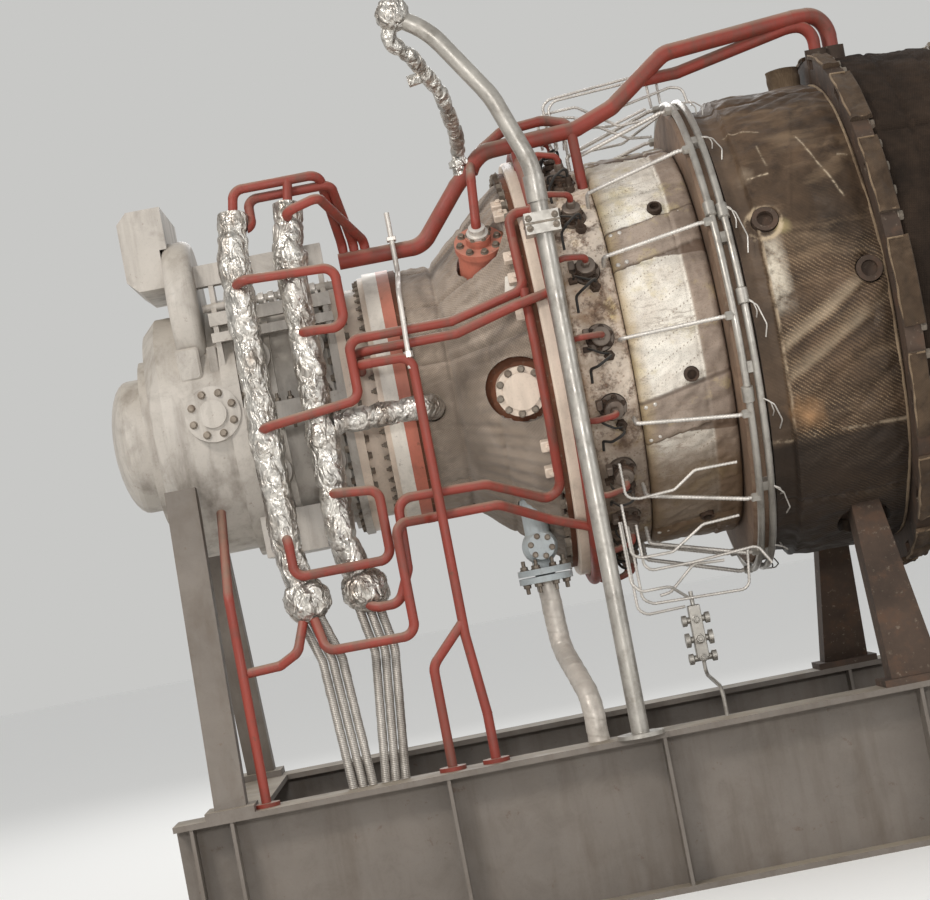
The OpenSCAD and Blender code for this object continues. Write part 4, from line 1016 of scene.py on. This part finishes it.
# Pale cords sewn along the edges of the flaps and of the turbine blanket
cords = Piece()
CORD_INSET = 0.3
for i, start in enumerate(FLAP_STARTS):
    first, last = start + CORD_INSET, start + FLAP_SWEEP - CORD_INSET
    rim = [polar(POWER_X0 + 0.004 + 0.003 * math.sin(i + k), first + (last - first) * k / 12, RIM_R + 0.014)
           for k in range(13)]
    ends = [polar(POWER_X0 + 0.060, turn, RIM_R + 0.012) for turn in (first, last)]
    cords.add(*swept([ends[0]] + rim + [ends[1]], 0.0042, 8))
rear_edge = [polar(TB_X1 - 0.006 + 0.003 * math.sin(k * 0.7), 5 * k,
                   TURBINE_R + SEAT + 0.78 * TB_T + 0.002 * math.sin(k)) for k in range(72)]
cords.add(*swept(rear_edge, 0.006, 8, True))
cords.make("edge_cords", "brown_cloth", "cord_cloth", ROUND_SHARP)

# Cloth sleeve round the boss on top of the turbine casing
boss_sleeve = Piece()
boss_height = span("turbine_casing", 2)[1] - AXIS - TURBINE_R - 0.034
ribs = [(0.0625 + 0.0012 * math.sin(k * 1.3), TURBINE_R + 0.030 + boss_height * k / 10) for k in range(11)]
boss_sleeve.put(lathe(40, (0.0595, ribs[0][1]), *ribs, (0.0595, ribs[-1][1])), polar(TOP_BOSS[0], 90, 0), UP)
boss_sleeve.make("top_boss_sleeve", "brown_cloth", "cord_cloth", ROUND_SHARP)

# Sewn and laced covers on the power turbine casing
COVER_X0, COVER_X1 = POWER_X0 + 0.064, POWER_X1 - 0.095
CASING_X0, CASING_X1 = POWER_X0 + 0.062, POWER_X1 - 0.09
COVERS = 8


def cover_relief(x, elevation, point):
    height = -0.012 * dent(to_seam(elevation, -31.5, 360 / COVERS, POWER_R), 0.010)
    for station, depth in ((0.14, 0.008), (0.29, 0.007)):
        height -= depth * dent(x - COVER_X0 - station, 0.008)
    return height + folds(point, 0.13, 0.012, 14) + crumple(point, 0.05, 0.003, 6)


def cover_profile(share):
    x = COVER_X0 + (COVER_X1 - COVER_X0) * share
    carrier = POWER_R - 0.022 * (x - CASING_X0) / (CASING_X1 - CASING_X0) + 0.0005
    return x, carrier + 0.030 * soft_edge(share, 12, 0.3), carrier


blanket("power_turbine_cover", "brown_cloth", "dark_cover_cloth", (), cover_profile, cover_relief, 48, 360,
        round_holes(POWER_R, 0.052, (1.165, 83.5)) + round_holes(POWER_R, 0.044, (1.098, 81)))


# Foil wrapped pipes
def wrap(radius, seed, lumps=0.009, tie=0.19):
    """Radius of a crumpled foil wrap with creases along the pipe, drawn in at each tie."""
    def shape(length, angle, point):
        drawn = 0.006 * dent((length + 0.03 * math.sin(seed)) % tie - tie / 2, 0.012)
        along = Vector((point[0], point[1], point[2] * 0.35))
        return radius - drawn + folds(along, 0.045, lumps, seed) + folds(point, 0.02, lumps * 0.35, seed + 3)
    return shape


def crumpled_ball(place, radius, seed, stretch=1.0, count=28):
    """A lump of crumpled foil; its rings run downwards, so its faces are turned round."""
    verts = []
    for i in range(1, count):
        for k in range(2 * count):
            a, b = math.pi * i / count, math.pi * k / count
            way = Vector((math.sin(a) * math.cos(b), math.sin(a) * math.sin(b), math.cos(a) * stretch))
            point = place + way * radius
            verts.append(place + way * (radius + folds(point, 0.05, 0.014, seed) + folds(point, 0.02, 0.005, seed)))
    return verts, [face[:1] + face[:0:-1] for face in skin(count - 1, 2 * count)]


FOIL_STEP = 0.006


def bleed_foil(name, x, foot_x, node, seed):
    """Foil wrap of one bleed pipe, from its leaning top to its foot, with its two ports."""
    piece = Piece()
    top = shaft(x, BLEED_Y, 0.700) + Vector((BLEED_LEAN.x, BLEED_LEAN.y, 0))
    route = [top, top - BLEED_LEAN, shaft(x, BLEED_Y, -0.500), shaft(foot_x, BLEED_Y, FOOT_Z)]
    piece.tube(route, 0.15, wrap(BLEED_R - 0.001, seed), cells(48), FOIL_STEP)
    for z in (-PORT_Z, PORT_Z):
        stub = [shaft(x, BLEED_Y, z), shaft(x, PORT_Y - SEAT, z)]
        piece.tube(stub, 0, wrap(0.040, seed + 2), cells(36), FOIL_STEP)
    piece.add(*crumpled_ball(shaft(foot_x, BLEED_Y, FOOT_Z), FOOT_R - 0.003, seed, 0.97))
    piece.add(*crumpled_ball(shaft(x, BLEED_Y, -0.12), 0.060, seed + 1, 1.5))
    piece.add(*crumpled_ball(shaft(x + 0.004, BLEED_Y, 0.50), 0.059, seed + 6, 1.7))
    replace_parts(piece.make(name, "foil", sharp=FOIL_SHARP), node)


bleed_foil("front_bleed_foil", FRONT_BLEED_X, FRONT_FOOT_X, "front_bleed_pipe", 21)
bleed_foil("rear_bleed_foil", REAR_BLEED_X, REAR_FOOT_X, "rear_bleed_pipe", 33)

branch = Piece()
branch.tube([shaft(REAR_BLEED_X + 0.05, BLEED_Y, BRANCH_Z), shaft(BRANCH_X, BLEED_Y, BRANCH_Z),
             shaft(BRANCH_X, -CONE_R0 + 0.012, BRANCH_Z)], 0.08, wrap(0.043, 40, 0.006, 0.10), cells(44), FOIL_STEP)
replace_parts(branch.make("foil_branch", "foil", sharp=FOIL_SHARP), "foil_elbow")


def shafts(*places):
    """Points given by their heights above the shaft."""
    return [shaft(*place) for place in places]


# Foil wrap over the hose that turns back from the riser's top end
hose_wrap = Piece()
hose_route = shafts((-0.446, -0.860, 1.236), (-0.474, -0.838, 1.160), (-0.400, -0.780, 1.098),
                    (-0.322, -0.640, 0.985), (-0.287, -0.430, 0.862), (-0.290, -0.352, 0.816))
hose_wrap.tube(hose_route, 0.045, wrap(0.0275, 51, 0.006, 0.11), cells(32), FOIL_STEP)
hose_wrap.add(*crumpled_ball(hose_route[0] + Vector((0.004, 0, 0.004)), 0.058, 55))
hose_wrap.make("branch_hose_foil", "foil", sharp=FOIL_SHARP)

# Hoses
HOSE_X, HOSE_Y = VALVE_X + 0.058, -0.690
COIL_PITCH = 0.062


def coiled(length, angle, point):
    """Radius of the drain hose's wound cover."""
    wound = (length / COIL_PITCH + angle / (2 * math.pi)) % 1
    return 0.0365 + 0.0014 * wound + folds(point, 0.05, 0.002, 3)


def braid_sleeve(seed):
    """Radius of a slightly uneven braided hose."""
    return lambda length, angle, point: 0.0155 + folds(point, 0.03, 0.0025, seed)


drain = Piece()
drain.tube(shafts((VALVE_X, VALVE_Y, VALVE_FACE), (VALVE_X + 0.006, VALVE_Y, -1.020), (HOSE_X, HOSE_Y, -1.200),
                  (HOSE_X, HOSE_Y, DECK)), 0.11, coiled, cells(36), 0.003, 6)
drain.make("drain_hose_cover", "steel", "hose_wrap", ROUND_SHARP)

bundle = Piece()
BUNDLE_PITCH = 0.0345
for i in (-1, 0, 1):
    for foot_x, lean, foot in ((FRONT_FOOT_X, 0.050, 0.074), (REAR_FOOT_X, 0.028, -0.020)):
        x = foot_x + i * BUNDLE_PITCH
        route = shafts((x, BLEED_Y, FOOT_Z - 0.06), (x + lean, BLEED_Y - 0.02, -0.900), (x + foot, HOSE_Y, DECK))
        bundle.tube(route, 0.09, braid_sleeve(i + foot_x * 9), cells(20), FOIL_STEP, 6)
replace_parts(bundle.make("braided_hoses", "steel", "braid", ROUND_SHARP), "lower_hoses")

# Bolts of the flanges: shape, count, station, radius, direction and first angle
SMALL_BOLT, BIG_BOLT, SMALL_STUD = bolt(0.027), bolt(0.038), stud(0.022)
FLANGE_BOLTS = (
    (SMALL_BOLT, 44, COMP_X0 + 0.030, 0.462, ALONG, 2),
    (SMALL_BOLT, 44, COMP_X1 - 0.030, 0.462, -ALONG, 2),
    (SMALL_BOLT, 44, CREAM_X0 + 0.032, 0.458, ALONG, 5),
    (SMALL_STUD, 56, CREAM_X1 - 0.020, 0.448, -ALONG, 1),
    (SMALL_STUD, 56, DIFF_X0 + 0.024, 0.452, ALONG, 1),
    (BIG_BOLT, 60, DIFF_X1 - 0.020, 0.735, -ALONG, 3),
    (BIG_BOLT, 60, POWER_X0 + 0.062, 0.930, ALONG, 2),
    (BIG_BOLT, 48, POWER_X1 - 0.050, 0.915, -ALONG, 2),
)
bolts = Piece()
for ring in FLANGE_BOLTS:
    bolt_ring(bolts, *ring)
bolts.make("flange_bolts", "steel", "bolt_steel")

split = Piece()
SPLIT_BOLTS = 7
for side in (-1, 1):
    for i in range(SPLIT_BOLTS):
        x = COMP_X0 + 0.06 + i * (COMP_X1 - COMP_X0 - 0.12) / (SPLIT_BOLTS - 1)
        for way in (-1, 1):
            split.put(stud(0.024, 0.03), shaft(x, side * (COMP_R + 0.030), way * 0.035), UP * way)
split.make("split_line_bolts", "steel", "bolt_steel")

# Bosses, round cover and valve
fasteners = Piece()
for size, place, radius, circle, count in ((0.024, UPPER_BOSS, 0.656, 0.070, 8), (0.018, UPPER_BOSS, 0.686, 0.036, 6),
                                           (0.022, SIDE_BOSS, 0.724, 0.078, 10)):
    bolt_circle(fasteners, bolt(size), polar(*place, radius), outward(place[1]), circle, count)
cover_low, cover_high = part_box("round_cover")
cover_mid = Vector(((cover_low[0] + cover_high[0]) / 2, cover_low[1] + 0.012, (cover_low[2] + cover_high[2]) / 2))
bolt_circle(fasteners, bolt(0.024), cover_mid, NEAR, 0.078, 8, 20)
for z, way in ((VALVE_FACE, -1), (VALVE_FACE + 0.050, 1)):
    bolt_circle(fasteners, stud(0.026, 0.034), shaft(VALVE_X, VALVE_Y, z), UP * way, 0.078, 8, 22.5)
bolt_circle(fasteners, bolt(0.018), shaft(VALVE_X, VALVE_Y - 0.138, -0.650), NEAR, 0.038, 6)
fasteners.make("boss_and_valve_bolts", "steel", "bolt_steel")

boss_fitting = Piece()
boss_fitting.stand(lathe(20, (0.020, 0.0), (0.040, 0.001), (0.040, 0.012), (0.030, 0.014), (0.030, 0.034),
                         (0.020, 0.038)), *UPPER_BOSS, 0.6865)
boss_fitting.make("upper_boss_fitting", "steel", "bright_tube")

PATCH_X, PATCH_TURN = -0.202, 23.0
patch = Piece()
patch_radius = CONE_R0 + CONE_SLOPE * (PATCH_X - CONE_X0) + DIFF_BL_T + 0.003
patch.put(box(0.066, 0.072, 0.004, 0.04), polar(PATCH_X, PATCH_TURN, patch_radius),
          outward(PATCH_TURN) - ALONG * CONE_SLOPE)
patch.make("pale_patch", "white_paint")

# Burner fittings
gear, dark_gear, leads = Piece(), Piece(), Piece()
gland = merged(hexagon(0.040, 0, 0.024), lathe(12, (0.011, 0.0), (0.011, 0.052), (0.007, 0.060)))
union = fitting(6, 0.013, 0.017, 0.016)
clamp_ring = lathe(20, (0.029, 0), (0.0335, 0.003), (0.0335, 0.015), (0.029, 0.018))
dark_collar = lathe(20, (0.028, 0), (0.036, 0.004), (0.036, 0.016), (0.030, 0.022), (0.028, 0.024))
for x, elevation in BURNERS:
    way = outward(elevation)
    bolt_circle(dark_gear, stud(0.018, 0.020), polar(x, elevation, COMB_R + 0.026), way, 0.037, 6, 30)
    dark_gear.stand(dark_collar, x, elevation, COMB_R + 0.034)
    gear.stand(clamp_ring, x, elevation, COMB_R + 0.058)
    gear.stand(union, x, elevation, BURNER_TOP + 0.018)
    gear.stand(box(0.022, 0.034, 0.030), x - 0.047, elevation + 1.6, COMB_R + 0.021)
    dark_gear.stand(box(0.030, 0.020, 0.024), x - 0.052, elevation - 2.6, COMB_R + 0.021)
    igniter, side = polar(x + 0.020, elevation - 5.4, COMB_R + 0.018), outward(elevation - 5.4)
    dark_gear.put(gland, igniter, side)
    leads.tube([igniter + side * 0.050, igniter + side * 0.100, polar(x - 0.030, elevation - 7.5, COMB_R + 0.100),
                polar(x - 0.056, elevation - 8, COMB_R + 0.060), polar(x - 0.056, elevation - 12, COMB_R + 0.030)],
               0.025, 0.0052, 8)
    leads.tube([polar(x - 0.050, elevation - 2.6, COMB_R + 0.046), polar(x - 0.050, elevation - 2.6, COMB_R + 0.075),
                polar(x - 0.010, elevation - 4.4, COMB_R + 0.085), polar(x + 0.020, elevation - 4.9, COMB_R + 0.070)],
               0.02, 0.0042, 8)
gear.make("burner_fittings", "steel", "burner_steel")
dark_gear.make("burner_dark_fittings", "dark_metal")
leads.make("igniter_leads", "dark_metal", "black_rubber", ROUND_SHARP)

caps = Piece()
sleeve = fitting(16, 0.0145, 0.021, 0.030)
for side, elevation in ((-1, 25.5), (1, 24.5), (1, 3.8), (-1, -18), (-1, 154.5), (1, 155.5), (1, 176.2), (-1, 198)):
    x = (TURB_X0 + TURB_X1) / 2 + side * 0.021
    caps.put(sleeve, polar(x, elevation, RING_TUBE_R), ALONG.cross(outward(elevation)))
bolt_ring(caps, union, TUBE_COUNT, TURB_X0 + 0.004, RING_TUBE_R, ALONG)
caps.make("ring_tube_unions", "steel")

# Capillary tubes that fork off the outer ring tube
capillary = Piece()
for i in range(TUBE_COUNT):
    elevation = 360 * i / TUBE_COUNT + 3
    start = polar(TURB_X1 - 0.012, elevation, RING_TUBE_R + 0.010)
    for lean, reach in ((2.2 + math.sin(i * 2.7), 0.020), (4.6 + 1.4 * math.sin(i * 1.9), 0.044)):
        bends = ((0.5, 0.4, 0.012), (1.0, 1.4, 0.002), (0.8, 2.0, -0.018))
        route = [polar(TURB_X1 + reach * out, elevation - lean * down, RING_TUBE_R + rise) for out, down, rise in bends]
        capillary.tube([start] + route, 0.02, 0.0027, 6)
capillary.make("capillary_tubes", "steel", "bright_tube", ROUND_SHARP)


def beaded(radius, depth):
    """Radius of a tube in a twisted sleeve."""
    return lambda length, angle, point: radius + depth * math.sin(2 * math.pi * length / 0.012 + angle)


# Twisted sleeves on the tubes from the burners to the ring tubes
TWIST_STEP = 0.003
sleeves = Piece()
for x, elevation in TUBE_FEET:
    bends = ((x, COMB_R + 0.030), (x, BURNER_TOP + 0.014), (TURB_X0 - 0.030, RING_TUBE_R), (TURB_X0 - 0.012, RING_TUBE_R))
    route = [polar(station, elevation, radius) for station, radius in bends]
    sleeves.tube(route, 0.02, beaded(0.0074, 0.0011), 8, TWIST_STEP, 8)
sleeves.make("tube_sleeves", "steel", "bright_tube", ROUND_SHARP)

# Thin tubes over the top of the combustor: each is its distance from the shaft's plane, then (x, height) points
CAGE = (
    (-0.20, (0.055, 0.775), (0.055, 0.946), (0.084, 0.965), (0.446, 0.992), (0.451, 0.862)),
    (-0.24, (0.071, 0.765), (0.071, 0.924), (0.096, 0.949), (0.349, 0.963), (0.481, 0.983), (0.481, 0.866)),
    (-0.16, (0.028, 0.790), (0.028, 0.908), (0.063, 0.921), (0.178, 0.926), (0.323, 0.825), (0.431, 0.830)),
    (-0.18, (0.080, 0.780), (0.086, 0.900), (0.162, 0.885), (0.348, 0.770), (0.434, 0.760)),
    (-0.26, (0.099, 0.760), (0.109, 0.841), (0.184, 0.862), (0.340, 0.880), (0.524, 0.915), (0.568, 0.905),
     (0.578, 0.845)),
    (-0.12, (0.160, 0.740), (0.170, 0.760), (0.327, 0.764), (0.480, 0.840)),
    (-0.10, (0.120, 0.760), (0.125, 0.860), (0.300, 0.840), (0.440, 0.880)),
)
# Thin tubes under the combustor, in the same form; a third number is the distance of that point alone
LOWER_CAGE = (
    (-0.690, (0.041, -0.420), (0.041, -0.541), (0.085, -0.553), (0.212, -0.546), (0.294, -0.492),
     (0.444, -0.492, -0.700)),
    (-0.600, (0.027, -0.560), (0.029, -0.744), (0.064, -0.758), (0.174, -0.758), (0.296, -0.683), (0.427, -0.676)),
    (-0.500, (0.072, -0.640), (0.072, -0.787), (0.094, -0.809), (0.245, -0.809), (0.482, -0.794), (0.522, -0.863)),
    (-0.440, (0.113, -0.905), (0.153, -0.900), (0.251, -0.817), (0.363, -0.824)),
    (-0.520, (0.019, -0.620), (0.019, -0.938), (0.049, -0.960), (0.192, -0.960, -0.440)),
    (-0.460, (0.045, -0.640), (0.047, -0.907), (0.083, -0.928), (0.430, -0.940), (0.450, -0.800)),
    (-0.560, (0.011, -0.620), (0.011, -0.841), (0.039, -0.876), (0.143, -0.876), (0.210, -0.930, -0.440)),
)
cage = Piece()
for y, *places in CAGE + LOWER_CAGE:
    route = [shaft(place[0], place[2] if len(place) > 2 else y, place[1]) for place in places]
    cage.tube(route, 0.035, beaded(0.0052, 0.0008), 8, TWIST_STEP, 8)
cage.make("thin_tube_cage", "steel", "bright_tube", ROUND_SHARP)

# Small valve block under the combustor, with its tube down to the base
BLOCK_X, BLOCK_Y = 0.222, -0.430
block = Piece()
block.put(box(0.044, 0.044, 0.190, 0.06), shaft(BLOCK_X, BLOCK_Y, -1.150), UP)
for z, size in ((-1.012, 0.020), (-1.082, 0.026), (-1.150, 0.020)):
    half = [(0.012, 0.030), (size, 0.034), (size, 0.050), (0.010, 0.052)]
    block.put(lathe(16, *[(radius, -height) for radius, height in half[::-1]], *half), shaft(BLOCK_X, BLOCK_Y, z), ALONG)
    block.put(stud(size * 1.2, 0.02), shaft(BLOCK_X, BLOCK_Y - 0.022, z), NEAR)
block.put(lathe(12, (0.008, 0), (0.008, 0.060)), shaft(BLOCK_X, BLOCK_Y, -0.910), -UP)
block.tube(shafts((BLOCK_X, BLOCK_Y, -1.148), (BLOCK_X, BLOCK_Y, -1.210), (0.240, -0.690, -1.250),
                  (0.240, -0.690, DECK)), 0.05, 0.007, 10, turn=8)
block.make("small_valve_block", "steel")

# Thin drain tube in front of the diffuser, clipped to the header
strap = Piece()
strap.tube(shafts((-0.588, -0.378, 0.640), (-0.588, -0.378, 0.420), (-0.600, -0.742, 0.310),
                  (-0.610, -0.742, 0.040)), 0.05, 0.0095, 14, turn=8)
strap.put(fitting(6, 0.0095, 0.016, 0.012, 0.002), shaft(-0.608, -0.742, 0.090), UP)
strap.put(box(0.034, 0.052, 0.016), shaft(-0.588, -0.362, 0.536), UP)
strap.make("front_drain_tube", "steel", "bright_tube")

# Boxes on the intake barrel: station, height above the shaft and size
trim = Piece()
for x, z, size in ((-1.387, 0.229, (0.084, 0.120, 0.080)), (-1.300, 0.215, (0.034, 0.130, 0.060)),
                   (-1.352, 0.090, (0.110, 0.022, 0.030))):
    depth = math.sqrt(BARREL_R ** 2 - (abs(z) + size[1] / 2) ** 2)
    trim.put(box(*size, 0.10), shaft(x, -depth + 0.004, z), NEAR)
trim.make("barrel_boxes", "grey_paint")

# Links of the guide vane gear
LINKS = 9
ROD_Y, ROD_Z = -0.366, 0.421
links = Piece()
for i in range(LINKS):
    x = COMP_X0 + 0.045 + i * (COMP_X1 - COMP_X0 - 0.060) / LINKS
    links.put(fitting(14, 0.015, 0.022, 0.012, 0.002), shaft(x, ROD_Y, ROD_Z), ALONG)
    links.tube(shafts((x + 0.012, ROD_Y - 0.010, ROD_Z - 0.010), (x + 0.018, -0.418, 0.372)), 0, 0.006, 10)
    links.put(stud(0.020, 0.022), shaft(x + 0.018, -0.418, 0.368), (0, -0.7, 0.7))
links.make("vane_links", "steel", "bright_tube")

# Bolts and slot of the riser's clamp
coupling = Piece()
for z in (0.418, 0.452):
    for x in (-0.046, 0.046):
        coupling.put(stud(0.020, 0.020), shaft(RISER_X + x, RISER_Y - 0.052, z), NEAR)
coupling.put(box(0.124, 0.110, 0.008), shaft(RISER_X, RISER_Y, 0.431), UP)
coupling.make("riser_clamp_bolts", "steel", "bolt_steel")

# Bolted lugs in front of the diffuser's rear flange
lugs = Piece()
for elevation in (52, 47, 30, 23, 12, -25, -33):
    lugs.stand(box(0.052, 0.040, 0.030), DIFF_X1 - 0.052, elevation, CONE_R1 + 0.026)
    lugs.stand(bolt(0.020), DIFF_X1 - 0.052, elevation, CONE_R1 + 0.056)
lugs.make("flange_lugs", "cream_paint")

# Camera, floor and light
CAMERA_PLACE = Vector((-0.650, -9.500, 1.250))
YAW, PITCH_UP, ROLL = 1.12, 2.46, 11.0
LENS, SENSOR = 98.05, 36


def photo_camera():
    """Camera at the photograph's place, turned and rolled as the photograph was."""
    yaw, pitch, roll = (math.radians(v) for v in (YAW, PITCH_UP, ROLL))
    ahead = Vector((math.sin(yaw) * math.cos(pitch), math.cos(yaw) * math.cos(pitch), math.sin(pitch)))
    level = ahead.cross(UP).normalized()
    upright = level.cross(ahead)
    right = level * math.cos(roll) - upright * math.sin(roll)
    top = level * math.sin(roll) + upright * math.cos(roll)
    data = bpy.data.cameras.new("photo_camera")
    data.lens = LENS
    data.sensor_width = SENSOR
    data.clip_end = 200
    rotation = Matrix((right, top, -ahead)).transposed().to_4x4()
    bpy.context.scene.camera = placed("photo_camera", data, Matrix.Translation(CAMERA_PLACE) @ rotation)


def soft_light(name, place, target, size, power, colour=(1, 1, 1)):
    """A large area lamp aimed at a point."""
    data = bpy.data.lights.new(name, "AREA")
    data.shape = "DISK"
    data.size = size
    data.energy = power
    data.color = colour
    placed(name, data, aimed(Vector(place), Vector(target) - Vector(place), "-Z"))


def pale_floor(reach=40.0):
    """A plain pale floor under the base frame."""
    mesh = bpy.data.meshes.new("floor")
    corners = [(-reach, -reach, 0), (reach, -reach, 0), (reach, reach, 0), (-reach, reach, 0)]
    mesh.from_pydata(corners, [], [[0, 1, 2, 3]])
    f = Finish("floor", 0.8, 0.0, 0.2)
    f.shader.inputs["Base Color"].default_value = tint((244, 243, 240))
    mesh.materials.append(f.material)
    placed("floor", mesh)


def studio_world():
    """Even pale surroundings; the camera and mirror rays see them paler."""
    world = bpy.data.worlds.new("studio")
    bpy.context.scene.world = world
    world.use_nodes = True
    tree = world.node_tree
    back = tree.nodes["Background"]
    seen = tree.nodes.new("ShaderNodeBackground")
    for node, colour, strength in ((back, (0.98, 0.99, 1.0, 1), 0.62), (seen, tint((200, 200, 198)), 1.0)):
        node.inputs["Color"].default_value = colour
        node.inputs["Strength"].default_value = strength
    path = tree.nodes.new("ShaderNodeLightPath")
    rays = path.outputs["Is Camera Ray"]
    for other in ("Is Glossy Ray", "Is Transmission Ray"):
        joined = tree.nodes.new("ShaderNodeMath")
        joined.operation = "MAXIMUM"
        tree.links.new(rays, joined.inputs[0])
        tree.links.new(path.outputs[other], joined.inputs[1])
        rays = joined.outputs[0]
    blend = tree.nodes.new("ShaderNodeMixShader")
    for socket, source in enumerate((rays, back.outputs[0], seen.outputs[0])):
        tree.links.new(source, blend.inputs[socket])
    tree.links.new(blend.outputs[0], tree.nodes["World Output"].inputs[0])


photo_camera()
pale_floor()
studio_world()
soft_light("key", (-4.5, -6.0, 6.5), (0, 0, 1.6), 1.8, 335, (1.0, 0.97, 0.93))
soft_light("front", (-0.9, -9.0, 2.4), (0.2, 0, 1.9), 0.6, 165)
soft_light("fill", (6.0, -5.0, 3.0), (0.3, 0, 1.6), 4.0, 90, (0.96, 0.98, 1.0))
soft_light("back", (0.0, 7.0, 6.0), (0, 0, 1.8), 4.0, 200)
bpy.context.scene.view_settings.view_transform = "Standard"
